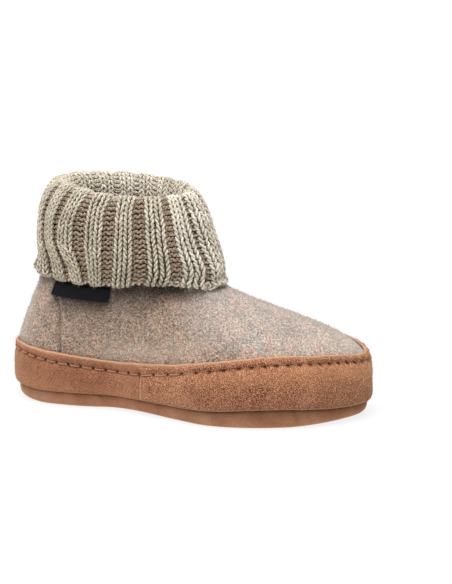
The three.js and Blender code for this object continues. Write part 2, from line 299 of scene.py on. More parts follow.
def collar_share(u):
    """Share of the collar's round that lies above a place around the foot."""
    return u + wall_round(u)[..., 2]


def foot_at_collar(share):
    """Place around the foot below a share of the collar's round."""
    return solve_rising(collar_share, np.mod(share, 1), 0, 1)


def feather_height(x):
    """Height of the seam between sole and felt."""
    return FEATHER_HEIGHT + FEATHER_RISE * bell(x - FEATHER_RISE_X, FEATHER_RISE_SPREAD)


def sole_lift(x):
    """How far the sole's lower face is off the floor, at the arch and at the toe."""
    arch = np.maximum(0, 1 - ((x - ARCH_X) / ARCH_HALF_LENGTH) ** 2)
    return ARCH_RISE * arch + TOE_SPRING * smooth(x, TOE_SPRING_START, TOE_SPRING_END)


def felt_point(u, level):
    """Outer face of the felt at a place around the foot and a level: 0 lower edge, 1 shoulder, 2 collar."""
    u, level = np.broadcast_arrays(np.mod(u, 1), np.asarray(level, float))
    foot, wall, lead = foot_round(u), wall_round(u), lead_round(u)
    shoulder = wall[..., 0]
    start = np.stack((foot[..., 0], foot[..., 1], shoulder), axis=-1)
    collar = read_collar(u + wall[..., 2])
    inward = COLLAR_CENTRE - collar
    inward[..., 2] = 0
    inward = unit(inward)
    slope = np.radians(lead[..., 0])
    arrival = inward * np.cos(slope)[..., None]
    arrival[..., 2] = np.sin(slope)
    leave = start + wall[..., 1:2] * np.array((0, 0, 1.0))
    near = collar - arrival * lead[..., 1:2]
    bend = np.clip((level - SHOULDER_LEVEL) / (COLLAR_LEVEL - SHOULDER_LEVEL), 0, 1)[..., None]
    rest = 1 - bend
    curve = rest**3 * start + 3 * rest**2 * bend * leave + 3 * rest * bend**2 * near + bend**3 * collar
    low = feather_height(foot[..., 0])
    upright = start.copy()
    upright[..., 2] = low + (shoulder - low) * np.minimum(level / SHOULDER_LEVEL, 1)
    return np.where((level <= SHOULDER_LEVEL)[..., None], upright, curve)


def felt_normal(u, level):
    """Outward normals of the felt's outer face."""
    low = np.maximum(0, np.asarray(level) - NORMAL_STEP)
    high = np.minimum(COLLAR_LEVEL, np.asarray(level) + NORMAL_STEP)
    around = felt_point(u + NORMAL_STEP, level) - felt_point(u - NORMAL_STEP, level)
    return unit(np.cross(around, felt_point(u, high) - felt_point(u, low)))


def off_felt(u, level, distance):
    """A point that stands off the felt's outer face by a distance, outwards where it is positive."""
    return felt_point(u, level) + felt_normal(u, level) * np.asarray(distance, float)[..., None]


def level_at_height(u, height):
    """Level of the felt at which it reaches a height."""
    u, height = np.broadcast_arrays(u, height)
    return solve_rising(lambda level: felt_point(u, level)[..., 2], height, 0, COLLAR_LEVEL)


# Shift of the random lumps for each seed
LUMP_SHIFT = (17.3, 5.1, 9.7)


def lumps(points, size, seed):
    """Soft random lumps of a size, from -1 to 1, at points in millimetres."""
    shift = Vector([seed * step for step in LUMP_SHIFT])
    flat = points.reshape(-1, 3) / size
    return np.array([noise.noise(Vector(p) + shift) for p in flat]).reshape(points.shape[:-1])


def uneven(points, layers):
    """Soft random lumps, added up from rows of size, height and seed."""
    return sum(height * lumps(points, size, seed) for size, height, seed in layers)


# Meshes


def new_object(name, data):
    """An object of the scene, at the origin."""
    item = bpy.data.objects.new(name, data)
    bpy.context.scene.collection.objects.link(item)
    return item


def put_attributes(mesh, attributes):
    """Stores a value for each point of a mesh, by name."""
    for name, values in attributes.items():
        layer = mesh.attributes.new(name, "FLOAT", "POINT")
        layer.data.foreach_set("value", np.ascontiguousarray(values, np.float32).ravel())


def in_frame(points):
    """Points in millimetres of the drawing frame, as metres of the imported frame."""
    return (points + FRAME_SHIFT) * MM


def loop_faces(loop_count, point_count, closed):
    """Quads between loops of points; an open stack is capped by strips across its first and last loop."""
    spans = loop_count if closed else loop_count - 1
    here = np.arange(spans)[:, None] * point_count
    after = (np.arange(spans)[:, None] + 1) % loop_count * point_count
    i = np.arange(point_count)[None, :]
    j = (i + 1) % point_count
    quads = np.stack((here + i, here + j, after + j, after + i), axis=-1).reshape(-1, 4)
    if not closed:
        last = (loop_count - 1) * point_count
        i = np.arange(point_count // 2 - 1)
        pair = point_count - 1 - i
        quads = np.concatenate((
            quads,
            np.stack((i, pair, pair - 1, i + 1), axis=-1),
            np.stack((last + i, last + i + 1, last + pair - 1, last + pair), axis=-1),
        ))
    return quads


def loop_solid(name, loops, closed, material, attributes=None):
    """A closed smooth mesh from loops of points, with values for each point."""
    loops = np.asarray(loops, float)
    points = loops.reshape(-1, 3)
    quads = loop_faces(loops.shape[0], loops.shape[1], closed)
    a, b, c, d = (points[quads[:, k]] for k in range(4))
    volume = np.einsum("ij,ij->", a, np.cross(b, c)) + np.einsum("ij,ij->", a, np.cross(c, d))
    if volume < 0:
        quads = quads[:, ::-1]
    mesh = bpy.data.meshes.new(name)
    mesh.from_pydata(in_frame(points).tolist(), [], quads.tolist())
    mesh.polygons.foreach_set("use_smooth", np.ones(len(quads), bool))
    put_attributes(mesh, attributes or {})
    mesh.materials.append(material)
    mesh.update()
    return new_object(name, mesh)


def path_mesh(name, paths, closed, attributes):
    """Paths of equal length as edges, ready to be swept."""
    path_count, point_count = paths.shape[:2]
    spans = point_count if closed else point_count - 1
    start = np.arange(path_count)[:, None] * point_count
    i = np.arange(spans)[None, :]
    edges = np.stack((start + i, start + (i + 1) % point_count), axis=-1).reshape(-1, 2)
    mesh = bpy.data.meshes.new(name)
    mesh.from_pydata(in_frame(paths.reshape(-1, 3)).tolist(), edges.tolist(), [])
    put_attributes(mesh, attributes)
    return new_object(name, mesh)


def path_lengths(paths):
    """Length from the start of each path to each of its points."""
    steps = np.linalg.norm(np.diff(paths, axis=1), axis=-1)
    return np.concatenate((np.zeros((len(paths), 1)), np.cumsum(steps, axis=1)), axis=1)


def dress(piece, slot, *nodes):
    """Fixes a finished piece to the slipper and hides the solids that it stands for; its slot is not used."""
    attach(piece, BODY)
    if nodes:
        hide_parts(*nodes)
    return piece


# Geometry node trees


class Nodes:
    """A node tree, and short ways to add nodes to it."""

    def __init__(self, tree):
        self.tree = tree

    def put(self, socket, value):
        """Links a socket to another node's output, or sets its value."""
        if isinstance(value, bpy.types.NodeSocket):
            self.tree.links.new(value, socket)
        else:
            socket.default_value = value

    def add(self, kind, values=None, **settings):
        """Adds a node; its settings come first, because they decide which sockets it has."""
        node = self.tree.nodes.new(kind)
        for name, setting in settings.items():
            setattr(node, name, setting)
        for name, value in (values or {}).items():
            self.put(node.inputs[name], value)
        return node

    def math(self, operation, a, b=0.0):
        """One step of arithmetic."""
        return self.add("ShaderNodeMath", {0: a, 1: b}, operation=operation).outputs["Value"]


class GeometryTree(Nodes):
    """A geometry node tree with named inputs for its sizes and its material."""

    def __init__(self, name, sizes):
        super().__init__(bpy.data.node_groups.new(name, "GeometryNodeTree"))
        face = self.tree.interface
        face.new_socket("Geometry", in_out="INPUT", socket_type="NodeSocketGeometry")
        kinds = {**sizes, "Material": "NodeSocketMaterial"}
        self.sockets = {
            label: face.new_socket(label, in_out="INPUT", socket_type=kind) for label, kind in kinds.items()
        }
        face.new_socket("Geometry", in_out="OUTPUT", socket_type="NodeSocketGeometry")
        self.inputs = self.tree.nodes.new("NodeGroupInput").outputs
        self.result = self.tree.nodes.new("NodeGroupOutput").inputs["Geometry"]

    def attribute(self, name):
        """A named attribute of the geometry."""
        node = self.add("GeometryNodeInputNamedAttribute", {"Name": name}, data_type="FLOAT")
        return node.outputs["Attribute"]

    def sweep(self, path, section, scale):
        """A section swept along paths, with closed ends."""
        node = self.add("GeometryNodeCurveToMesh", {
            "Curve": path, "Profile Curve": section, "Scale": scale, "Fill Caps": True,
        })
        return node.outputs["Mesh"]

    def end(self, geometry):
        """Ends the tree with smooth faces, realized instances and the material."""
        even = self.add("GeometryNodeSetShadeSmooth", {"Geometry": geometry})
        real = self.add("GeometryNodeRealizeInstances", {"Geometry": even.outputs["Geometry"]})
        painted = self.add("GeometryNodeSetMaterial", {
            "Geometry": real.outputs["Geometry"], "Material": self.inputs["Material"],
        })
        self.put(self.result, painted.outputs["Geometry"])
        return self

    def run(self, name, source, values):
        """Runs the tree on a source object, and returns its result as a plain mesh object."""
        modifier = source.modifiers.new(name, "NODES")
        modifier.node_group = self.tree
        for label, value in values.items():
            modifier[self.sockets[label].identifier] = value
        graph = bpy.context.evaluated_depsgraph_get()
        mesh = bpy.data.meshes.new_from_object(
            source.evaluated_get(graph), preserve_all_data_layers=True, depsgraph=graph
        )
        source.modifiers.remove(modifier)
        mesh.name = name
        return new_object(name, mesh)


def yarn_tree():
    """Sweeps a round section along every path of the input; ring holds the place around the section."""
    tree = GeometryTree("yarn_sweep", {"Radius": "NodeSocketFloat", "Sides": "NodeSocketInt"})
    paths = tree.add("GeometryNodeMeshToCurve", {"Mesh": tree.inputs["Geometry"]})
    section = tree.add("GeometryNodeCurvePrimitiveCircle", {
        "Resolution": tree.inputs["Sides"], "Radius": 1.0,
    })
    marked = tree.add("GeometryNodeStoreNamedAttribute", {
        "Name": "ring",
        "Geometry": section.outputs["Curve"],
        "Value": tree.add("GeometryNodeInputPosition").outputs["Position"],
    }, data_type="FLOAT_VECTOR", domain="POINT")
    radius = tree.math("MULTIPLY", tree.attribute("thickness"), tree.inputs["Radius"])
    return tree.end(tree.sweep(paths.outputs["Curve"], marked.outputs["Geometry"], radius))


# A fibre of length 1: its root under the face, its tip, the share of its width that is left at the tip, how
# far it may lean more in radians, and the shortest and longest size
FIBRE_ROOT = (0.0, 0.0, -0.1)
FIBRE_TIP = (0.7, 0.1, 0.6)
FIBRE_TAPER = 0.15
FIBRE_SIDES = 3
FIBRE_LEAN = 0.5
FIBRE_SIZES = (0.45, 1.3)
FIBRE_SHADE_SEED = 11


def fibre_tree():
    """Grows short leaning fibres, each a thin closed spike, from the input's faces where nap is high."""
    tree = GeometryTree("fibre_growth", {
        "Density": "NodeSocketFloat",
        "Length": "NodeSocketFloat",
        "Width": "NodeSocketFloat",
        "Seed": "NodeSocketInt",
    })
    length, seed = tree.inputs["Length"], tree.inputs["Seed"]
    roots = tree.add("GeometryNodeDistributePointsOnFaces", {
        "Mesh": tree.inputs["Geometry"],
        "Density": tree.math("MULTIPLY", tree.attribute("nap"), tree.inputs["Density"]),
        "Seed": seed,
    })
    spike = tree.add("GeometryNodeCurvePrimitiveLine", {"Start": FIBRE_ROOT, "End": FIBRE_TIP})
    section = tree.add("GeometryNodeCurvePrimitiveCircle", {"Resolution": FIBRE_SIDES, "Radius": 1.0})
    taper = tree.add("ShaderNodeMapRange", {
        "Value": tree.add("GeometryNodeSplineParameter").outputs["Factor"],
        "To Min": 1.0,
        "To Max": FIBRE_TAPER,
    })
    slim = tree.math("MULTIPLY", tree.math("DIVIDE", tree.inputs["Width"], length), taper.outputs["Result"])
    fibre = tree.sweep(spike.outputs["Curve"], section.outputs["Curve"], slim)
    turn = tree.add("FunctionNodeRandomValue", {
        "Min": (-FIBRE_LEAN, -FIBRE_LEAN, 0.0),
        "Max": (FIBRE_LEAN, FIBRE_LEAN, 2 * math.pi),
        "Seed": seed,
    }, data_type="FLOAT_VECTOR")
    spin = tree.add("FunctionNodeEulerToRotation", {"Euler": turn.outputs["Value"]})
    stand = tree.add("FunctionNodeRotateRotation", {
        "Rotation": roots.outputs["Rotation"], "Rotate By": spin.outputs["Rotation"],
    }, rotation_space="LOCAL")
    shortest, longest = FIBRE_SIZES
    # A random float has its limits at sockets 2 and 3, and its value at output 1.
    size = tree.add("FunctionNodeRandomValue", {2: shortest, 3: longest, "Seed": seed}, data_type="FLOAT")
    grown = tree.add("GeometryNodeInstanceOnPoints", {
        "Points": roots.outputs["Points"],
        "Instance": fibre,
        "Rotation": stand.outputs["Rotation"],
        "Scale": tree.math("MULTIPLY", size.outputs[1], length),
    })
    shade = tree.add("FunctionNodeRandomValue", {"Seed": FIBRE_SHADE_SEED}, data_type="FLOAT")
    toned = tree.add("GeometryNodeStoreNamedAttribute", {
        "Name": "shade", "Geometry": grown.outputs["Instances"], "Value": shade.outputs[1],
    }, data_type="FLOAT", domain="INSTANCE")
    return tree.end(toned.outputs["Geometry"])


# Materials


SHEEN_ROUGHNESS = 0.5
# Sockets of a mix node for colours: factor, both colours and the result
MIX_FACTOR, MIX_FIRST, MIX_SECOND, MIX_RESULT = 0, 6, 7, 2


def colour(code):
    """A linear colour from a six-digit code."""
    parts = [int(code[k:k + 2], 16) / 255 for k in (1, 3, 5)]
    linear = [p / 12.92 if p <= 0.04045 else ((p + 0.055) / 1.055) ** 2.4 for p in parts]
    return (*linear, 1.0)


class Finish(Nodes):
    """A material with its shader, and short ways to add texture nodes to it."""

    def __init__(self, name, roughness, sheen=0.0, sheen_tint="#ffffff", specular=0.3):
        self.material = bpy.data.materials.new(name)
        self.material.use_nodes = True
        super().__init__(self.material.node_tree)
        self.shader = self.tree.nodes["Principled BSDF"].inputs
        looks = {
            "Roughness": roughness,
            "Specular IOR Level": specular,
            "Sheen Weight": sheen,
            "Sheen Roughness": SHEEN_ROUGHNESS,
            "Sheen Tint": colour(sheen_tint),
        }
        for label, value in looks.items():
            self.put(self.shader[label], value)
        self.place = self.add("ShaderNodeTexCoord").outputs["Object"]

    def noise(self, grain, detail=2.0, rough=0.5, swirl=0.0):
        """Noise whose largest features are about grain millimetres across."""
        node = self.add("ShaderNodeTexNoise", {
            "Vector": self.place,
            "Scale": 1 / (grain * MM),
            "Detail": detail,
            "Roughness": rough,
            "Distortion": swirl,
        })
        return node.outputs["Fac"]

    def cells(self, grain):
        """A random value for each cell of about grain millimetres."""
        node = self.add("ShaderNodeTexVoronoi", {"Vector": self.place, "Scale": 1 / (grain * MM)})
        split = self.add("ShaderNodeSeparateColor", {"Color": node.outputs["Color"]})
        return split.outputs["Red"]

    def ramp(self, value, stops):
        """Colours by value, from stops of a position and a colour code."""
        node = self.add("ShaderNodeValToRGB", {"Fac": value})
        points = node.color_ramp.elements
        while len(points) < len(stops):
            points.new(1.0)
        for point, (position, tone) in zip(points, stops):
            point.position = position
            point.color = colour(tone)
        return node.outputs["Color"]

    def span(self, value, low, high):
        """Maps low to high onto 0 to 1, held at both ends."""
        node = self.add("ShaderNodeMapRange", {"Value": value, "From Min": low, "From Max": high})
        return node.outputs["Result"]

    def mix(self, factor, first, second, blend="MIX"):
        """Two colours blended by a factor."""
        node = self.add("ShaderNodeMix", data_type="RGBA", blend_type=blend)
        for socket, value in ((MIX_FACTOR, factor), (MIX_FIRST, first), (MIX_SECOND, second)):
            self.put(node.inputs[socket], value)
        return node.outputs[MIX_RESULT]

    def times(self, first, second):
        """Two colours multiplied."""
        return self.mix(1.0, first, second, blend="MULTIPLY")

    def share(self, value, part):
        """A value times a number."""
        return self.math("MULTIPLY", value, part)

    def attribute(self, name, output="Fac"):
        """A named attribute of the piece."""
        return self.add("ShaderNodeAttribute", attribute_name=name).outputs[output]

    def stain(self, name, base, code):
        """Blends a base towards a colour by a named attribute of the piece."""
        return self.mix(self.attribute(name), base, colour(code))

    def plies(self, pitch):
        """Two plies wound around a swept yarn, one turn in a pitch of millimetres, from -1 to 1."""
        ring = self.add("ShaderNodeSeparateXYZ", {"Vector": self.attribute("ring", "Vector")})
        angle = self.math("ARCTAN2", ring.outputs["Y"], ring.outputs["X"])
        turns = self.share(self.attribute("along"), 2 * math.pi / pitch)
        return self.math("SINE", self.math("ADD", self.share(angle, 2.0), turns))

    def relief(self, height, depth, strength=1.0):
        """Bump of a depth in millimetres."""
        values = {"Height": height, "Distance": depth * MM, "Strength": strength}
        return self.add("ShaderNodeBump", values).outputs["Normal"]

    def done(self, base, normal=None):
        """The material, with its colour and its relief."""
        self.put(self.shader["Base Color"], base)
        if normal is not None:
            self.put(self.shader["Normal"], normal)
        return self.material


FELT_TONES = ((0.0, "#705a4e"), (0.25, "#9a8472"), (0.5, "#b5a090"), (0.75, "#ccbcae"), (1.0, "#e6dbd1"))
FELT_PATCHES = ((0.0, "#d2d0cc"), (0.5, "#e9e2dc"), (1.0, "#f4e6da"))
FELT_BLUSH = ((0.0, "#f7fbf9"), (1.0, "#fff7f4"))
CREAM_TONES = ((0.0, "#aea38c"), (0.5, "#d4c9b2"), (1.0, "#eee6d4"))
BROWN_TONES = ((0.0, "#816a55"), (0.5, "#aa927b"), (1.0, "#cab59f"))
FLECK_TONES = ((0.0, "#dcd8d2"), (1.0, "#ffffff"))
# Painted shade of the yarn by how deep it lies
SUNK_TONES = ((0.2, "#ffffff"), (0.65, "#9a8f85"), (1.0, "#5d5048"))
# Brown yarn behind the loops, darkened with painted shade
BACKING_TONES = ((0.25, "#221811"), (0.55, "#3d2e23"), (0.8, "#57463a"))
THREAD_TONES = ((0.0, "#a87557"), (1.0, "#d3a284"))
TAB_TONES = ((0.0, "#0c0c10"), (1.0, "#1b1c23"))
TOE_SUEDE_TONES = ((0.0, "#300b04"), (0.5, "#874d31"), (1.0, "#ebad87"))
HEEL_SUEDE_TONES = ((0.0, "#5f2e19"), (0.5, "#8d5a40"), (1.0, "#b98568"))
SOLE_TONES = ((0.0, "#935f43"), (0.5, "#a97557"), (1.0, "#bd8c6f"))
# Lengths in millimetres of a turn of the yarn's and the thread's plies, and of the tab's weave both ways
YARN_TWIST = 1.7
THREAD_TWIST = 1.1
WEAVE_ALONG = 0.45
WEAVE_UP = 0.6


def felt_finish(name, dim="#ffffff"):
    """Boiled wool: heathered fibres of several tones, soft patches and a hairy face."""
    felt = Finish(name, roughness=1.0, sheen=0.55, sheen_tint="#f0eeec", specular=0.1)
    strands = felt.noise(grain=0.72, detail=3.0, rough=0.8)
    flecks = felt.cells(grain=0.55)
    heather = felt.math("ADD", felt.share(strands, 0.75), felt.share(flecks, 0.25))
    base = felt.ramp(felt.span(heather, 0.37, 0.66), FELT_TONES)
    patches = felt.noise(grain=8.0)
    patched = felt.times(base, felt.ramp(felt.span(patches, 0.3, 0.7), FELT_PATCHES))
    clumps = felt.noise(grain=5.0, detail=0.0)
    tinted = felt.times(patched, felt.ramp(felt.span(clumps, 0.36, 0.64), FELT_BLUSH))
    sewn = felt.mix(felt.share(felt.attribute("seam"), 0.5), tinted, colour("#54453a"))
    # Painted light above the rand and on faces that look up, then painted shade under the hem, the tab and in
    # the fold
    lightened = felt.stain("pale", sewn, "#e8cfbb")
    up_lit = felt.stain("up_light", lightened, "#dde2e8")
    shaded = felt.stain("shadow", up_lit, "#2b211b")
    hairs = felt.noise(grain=0.9, detail=3.0, rough=0.75)
    return felt.done(felt.times(shaded, colour(dim)), felt.relief(hairs, depth=0.45, strength=0.8))


def fibre_finish(name, tones):
    """Loose fibres, each of one tone."""
    fibre = Finish(name, roughness=1.0, specular=0.1)
    return fibre.done(fibre.ramp(fibre.attribute("shade"), tones))


def yarn_finish():
    """Two-ply wool yarn: cream on the ribs and brown in the valleys, with the twist of its plies."""
    yarn = Finish("wool_yarn", roughness=1.0, sheen=0.45, sheen_tint="#f2eee6", specular=0.1)
    hairs = yarn.noise(grain=0.7, detail=3.0, rough=0.7)
    ply = yarn.math("ADD", yarn.share(yarn.plies(YARN_TWIST), 0.25), hairs)
    rounded = yarn.span(ply, 0.18, 0.88)
    mixed = yarn.mix(yarn.attribute("tone"), yarn.ramp(rounded, BROWN_TONES), yarn.ramp(rounded, CREAM_TONES))
    # Painted light where the yarn is lit, and painted shade where it lies deep
    base = yarn.stain("lit", mixed, "#fff9ee")
    flecked = yarn.times(base, yarn.ramp(yarn.attribute("fleck"), FLECK_TONES))
    shaded = yarn.times(flecked, yarn.ramp(yarn.attribute("deep"), SUNK_TONES))
    return yarn.done(shaded, yarn.relief(ply, depth=0.35, strength=0.9))


def backing_finish():
    """The brown yarn behind the loops, darkened by painted shade where it is seen in the gaps, and painted
    lighter at the cuff's front.
    """
    backing = Finish("knit_backing", roughness=1.0, specular=0.05)
    grain = backing.noise(grain=1.2, detail=3.0, rough=0.7)
    base = backing.stain("ahead", backing.ramp(grain, BACKING_TONES), "#6a5848")
    return backing.done(base, backing.relief(grain, depth=0.5))


def suede_finish(name, tones, nap_size, nap_depth, marks_share, reach):
    """Brushed suede: fine nap with finger marks, pale raw edges, painted shade in the stitch holes, and
    painted light and shade from the piece.
    """
    suede = Finish(name, roughness=0.95, sheen=0.45, sheen_tint="#f0c9a2", specular=0.15)
    marks = suede.noise(grain=14.0, rough=0.6, swirl=0.6)
    nap = suede.noise(grain=nap_size, detail=3.0, rough=0.85)
    brushed = suede.math("ADD", suede.share(marks, marks_share), suede.share(nap, 1 - marks_share))
    base = suede.ramp(suede.span(brushed, 0.5 - reach, 0.5 + reach), tones)
    edge = suede.stain("raw_edge", base, "#d0a486")
    # Painted shade in the stitch holes and along their crack
    holed = suede.stain("hole", edge, "#33160a")
    # Painted light on the rand, then painted shade low on its front and on the sole's side
    lightened = suede.stain("lit_suede", holed, "#f2b07c")
    shaded = suede.stain("shadow", lightened, "#3a1f12")
    return suede.done(shaded, suede.relief(nap, nap_depth, strength=0.9))


def thread_finish():
    """Waxed sewing thread, paler than the suede."""
    thread = Finish("sewing_thread", roughness=0.7, specular=0.3)
    twist = thread.plies(THREAD_TWIST)
    base = thread.ramp(thread.span(twist, -1.0, 1.0), THREAD_TONES)
    return thread.done(base, thread.relief(twist, depth=0.15))


def tab_finish():
    """Close dark weave, its ribs running across the tab."""
    tab = Finish("tab_weave", roughness=0.8, specular=0.15)
    lengthwise = tab.math("SINE", tab.share(tab.attribute("tab_along"), 2 * math.pi / WEAVE_ALONG))
    crosswise = tab.math("SINE", tab.share(tab.attribute("tab_up"), 2 * math.pi / WEAVE_UP))
    weave = tab.math("MULTIPLY", lengthwise, crosswise)
    base = tab.ramp(tab.span(weave, -1.0, 1.0), TAB_TONES)
    return tab.done(base, tab.relief(weave, depth=0.15, strength=0.6))


# Felt shell and insole


# Soft lumps of the felt's face: size, height and seed
FELT_LUMPS = ((9.0, 0.28, 1), (3.0, 0.12, 2))
# Creases of the felt's outer face: places around the foot and heights of both ends, width and depth
CREASES = (
    ((0.36, 60.0), (0.40, 36.0), 7.0, 0.9),
    ((0.33, 62.0), (0.34, 40.0), 6.0, 0.6),
    ((0.43, 57.0), (0.45, 44.0), 8.0, 0.7),
    ((0.21, 52.0), (0.27, 34.0), 9.0, 0.6),
    ((0.64, 60.0), (0.60, 36.0), 7.0, 0.8),
    ((0.70, 60.0), (0.73, 38.0), 8.0, 0.6),
    ((0.02, 58.0), (0.06, 40.0), 7.0, 0.5),
)
# Painted soft shade in the fold where the side of the felt turns into its front
SHADE = ((0.325, 53.0), (0.35, 40.0))
SHADE_WIDTH = 9.0
SHADE_DEPTH = 0.24
# Heel seam of the felt: heights and places around the foot, from the rand up to the collar
SEAM_LINE = ((20, 0.153), (30, 0.152), (40, 0.145), (47, 0.136), (54, 0.122), (58, 0.114), (70, 0.085))
SEAM_WIDTH = 0.8
SEAM_DEPTH = 0.7
SEAM_STEP = 0.01
# The felt swells a little on both sides of the seam: height, distance and width
SEAM_SWELL, SEAM_SWELL_AWAY, SEAM_SWELL_WIDTH = 0.25, 2.2, 1.2
# Columns of the mesh lie closer together between these places beside the seam.
SEAM_SPAN = (0.108, 0.158)
SEAM_COLUMNS = 60
SEAM_MARGIN = 0.001
# Stretches of the felt, as places around the foot where each starts, is full, fades and ends
OUTER_SIDE = (0.17, 0.21, 0.24, 0.32)
OUTER_FRONT = (0.2, 0.28, 0.325, 0.37)
LYING_HEM = (0.37, 0.4, 0.6, 0.66)
PALE_SIDE = (0.18, 0.22, 0.31, 0.35)
# Shade under the hem: its share all round and its gain on the outer side, and how far down it reaches all
# round, more at the outer front and more at the outer side
HEM_SHADE, HEM_SHADE_OUTER = 0.4, 0.52
HEM_SHADE_REACH, HEM_SHADE_FRONT, HEM_SHADE_SIDE = 2.8, 2.0, 7.5
# Shade under the tab: its share and reach, and how softly it sets in at the tab's rear and front end
TAB_SHADE, TAB_SHADE_REACH = 0.9, 7.5
TAB_SHADE_REAR, TAB_SHADE_FRONT = (-0.015, 0.02), (-0.01, 0.03)
# Painted light on a pale stretch above the rand: its share, height and width. Then painted light on the faces
# that look up: their share, and how far they look up where it starts and is full.
PALE, PALE_HEIGHT, PALE_WIDTH = 0.2, 6.0, 5.0
UPWARD_LIGHT, UPWARD_LIGHT_FACES = 0.15, (0.3, 0.75)
# Heights over the rand's edge and the hem at which the felt comes out of the rand and goes under the cuff,
# and the share of its unevenness that is left there
BARE_HEIGHTS = (-2.0, 0.5)
COVERED_HEIGHTS = (-1.0, 3.0)
COVERED_SHARE = 0.3


def felt_line(ends):
    """Points of the felt at the ends of a line, given by places around the foot and heights."""
    u, height = np.array(ends).T
    return felt_point(u, level_at_height(u, height))


def distance_to_segment(points, start, end):
    """Distances of points from a straight line between two ends."""
    along = end - start
    t = np.clip(((points - start) @ along) / (along @ along), 0, 1)
    return np.linalg.norm(points - start - t[..., None] * along, axis=-1)


def hem_shadow(u, points):
    """Painted shade on the felt close under the cuff's hem and around the tab."""
    below = np.maximum(lead_round(u)[..., 2] - points[..., 2], 0)
    outer_side, outer_front = between(u, *OUTER_SIDE), between(u, *OUTER_FRONT)
    dark = HEM_SHADE * (1 - between(u, *LYING_HEM)) + HEM_SHADE_OUTER * np.maximum(outer_front, outer_side)
    reach = HEM_SHADE_REACH + HEM_SHADE_FRONT * outer_front + HEM_SHADE_SIDE * outer_side
    (rear, rear_low, _), (front, front_low, _) = TAB_ENDS
    share = collar_share(u)
    along = np.clip((share - rear) / (front - rear), 0, 1)
    drop = np.maximum(rear_low + (front_low - rear_low) * along - points[..., 2], 0)
    rear_soft, front_soft = np.add(rear, TAB_SHADE_REAR), np.add(front, TAB_SHADE_FRONT)
    near_tab = TAB_SHADE * between(share, *rear_soft, *front_soft) * bell(drop, TAB_SHADE_REACH)
    return np.clip(np.maximum(dark * bell(below, reach), near_tab), 0, 1)


def felt_columns():
    """Places around the foot, closer together along the heel seam."""
    start, end = SEAM_SPAN
    even = np.arange(FELT_COLUMNS) / FELT_COLUMNS
    apart = (even < start - SEAM_MARGIN) | (even > end + SEAM_MARGIN)
    return np.sort(np.concatenate((even[apart], np.linspace(start, end, SEAM_COLUMNS))))


def beside_seam(u, level, points):
    """Distance from the heel seam, along the felt."""
    seam_u = np.interp(points[..., 2], *zip(*SEAM_LINE))
    step = felt_point(seam_u + SEAM_STEP, level) - felt_point(seam_u - SEAM_STEP, level)
    return np.abs(u - seam_u) * np.linalg.norm(step, axis=-1) / (2 * SEAM_STEP)


def felt_upper(material):
    """The felt shell with its creases, its heel seam and the uneven face of boiled wool."""
    columns = felt_columns()
    levels = np.concatenate((
        np.linspace(0, SHOULDER_LEVEL, FELT_LEVELS // 3),
        np.linspace(SHOULDER_LEVEL, COLLAR_LEVEL, FELT_LEVELS)[1:],
    ))
    u, level = np.meshgrid(columns, levels)
    points, outward = felt_point(u, level), felt_normal(u, level)
    height = points[..., 2]
    above_rand = height - foot_round(u)[..., 2]
    above_hem = height - lead_round(u)[..., 2]
    bare = smooth(above_rand, *BARE_HEIGHTS)
    free = 1 - smooth(above_hem, *COVERED_HEIGHTS)
    push = uneven(points, FELT_LUMPS)
    for *ends, width, depth in CREASES:
        push = push - depth * bell(distance_to_segment(points, *felt_line(ends)), width)
    beside = beside_seam(u, level, points)
    seam = bell(beside, SEAM_WIDTH)
    push = push - SEAM_DEPTH * seam + SEAM_SWELL * bell(beside - SEAM_SWELL_AWAY, SEAM_SWELL_WIDTH)
    push = push * bare * (COVERED_SHARE + (1 - COVERED_SHARE) * free)
    fold_shade = SHADE_DEPTH * bell(distance_to_segment(points, *felt_line(SHADE)), SHADE_WIDTH)
    inner_levels = np.concatenate((
        np.linspace(COLLAR_LEVEL, SHOULDER_LEVEL, FELT_INNER_LEVELS),
        np.linspace(SHOULDER_LEVEL, 0, FELT_LOW_LEVELS)[1:],
    ))
    inner_u, inner_level = np.meshgrid(columns, inner_levels)
    inner = off_felt(inner_u, inner_level, np.full(inner_u.shape, -FELT_WALL))
    # Painted shade under the hem, the tab and in the fold, and painted light above the rand and on faces that
    # look up
    looks = {
        "nap": bare * free,
        "seam": seam * bare,
        "shadow": np.maximum(hem_shadow(u, points), fold_shade) * bare,
        "up_light": UPWARD_LIGHT * smooth(outward[..., 2], *UPWARD_LIGHT_FACES),
        "pale": PALE * between(u, *PALE_SIDE) * bell(above_rand - PALE_HEIGHT, PALE_WIDTH),
    }
    none = np.zeros(inner_u.shape)
    return loop_solid(
        "felt_upper", np.concatenate((points + outward * push[..., None], inner)), True, material,
        {name: np.concatenate((field, none)) for name, field in looks.items()},
    )


def insole(material):
    """Felt footbed with a softly rounded upper edge."""
    u = (np.arange(FELT_COLUMNS // 2) + 0.5) / (FELT_COLUMNS // 2)
    rings = []
    for inset, lift in INSOLE_EDGE:
        ring = off_felt(u, np.zeros_like(u), np.full(u.shape, -FELT_WALL - GAP - inset))
        ring[:, 2] = feather_height(ring[:, 0]) + lift
        rings.append(ring)
    return loop_solid("insole_felt", rings, False, material)


# Sole


# Shade of the sole's side: share of the way up, and shade at the rear and at the front
SOLE_SHADES = (
    (0.0, 0.0, 0.0), (0.25, 0.05, 0.1), (0.5, 0.11, 0.28),
    (0.75, 0.17, 0.42), (0.9, 0.2, 0.5), (1.0, 0.22, 0.6),
)
SOLE_FRONT_X = (-15.0, 30.0)
SOLE_EDGE_STEPS = 10
SOLE_SIDE_SHARES = (0.3, 0.6, 0.8, 1.0)


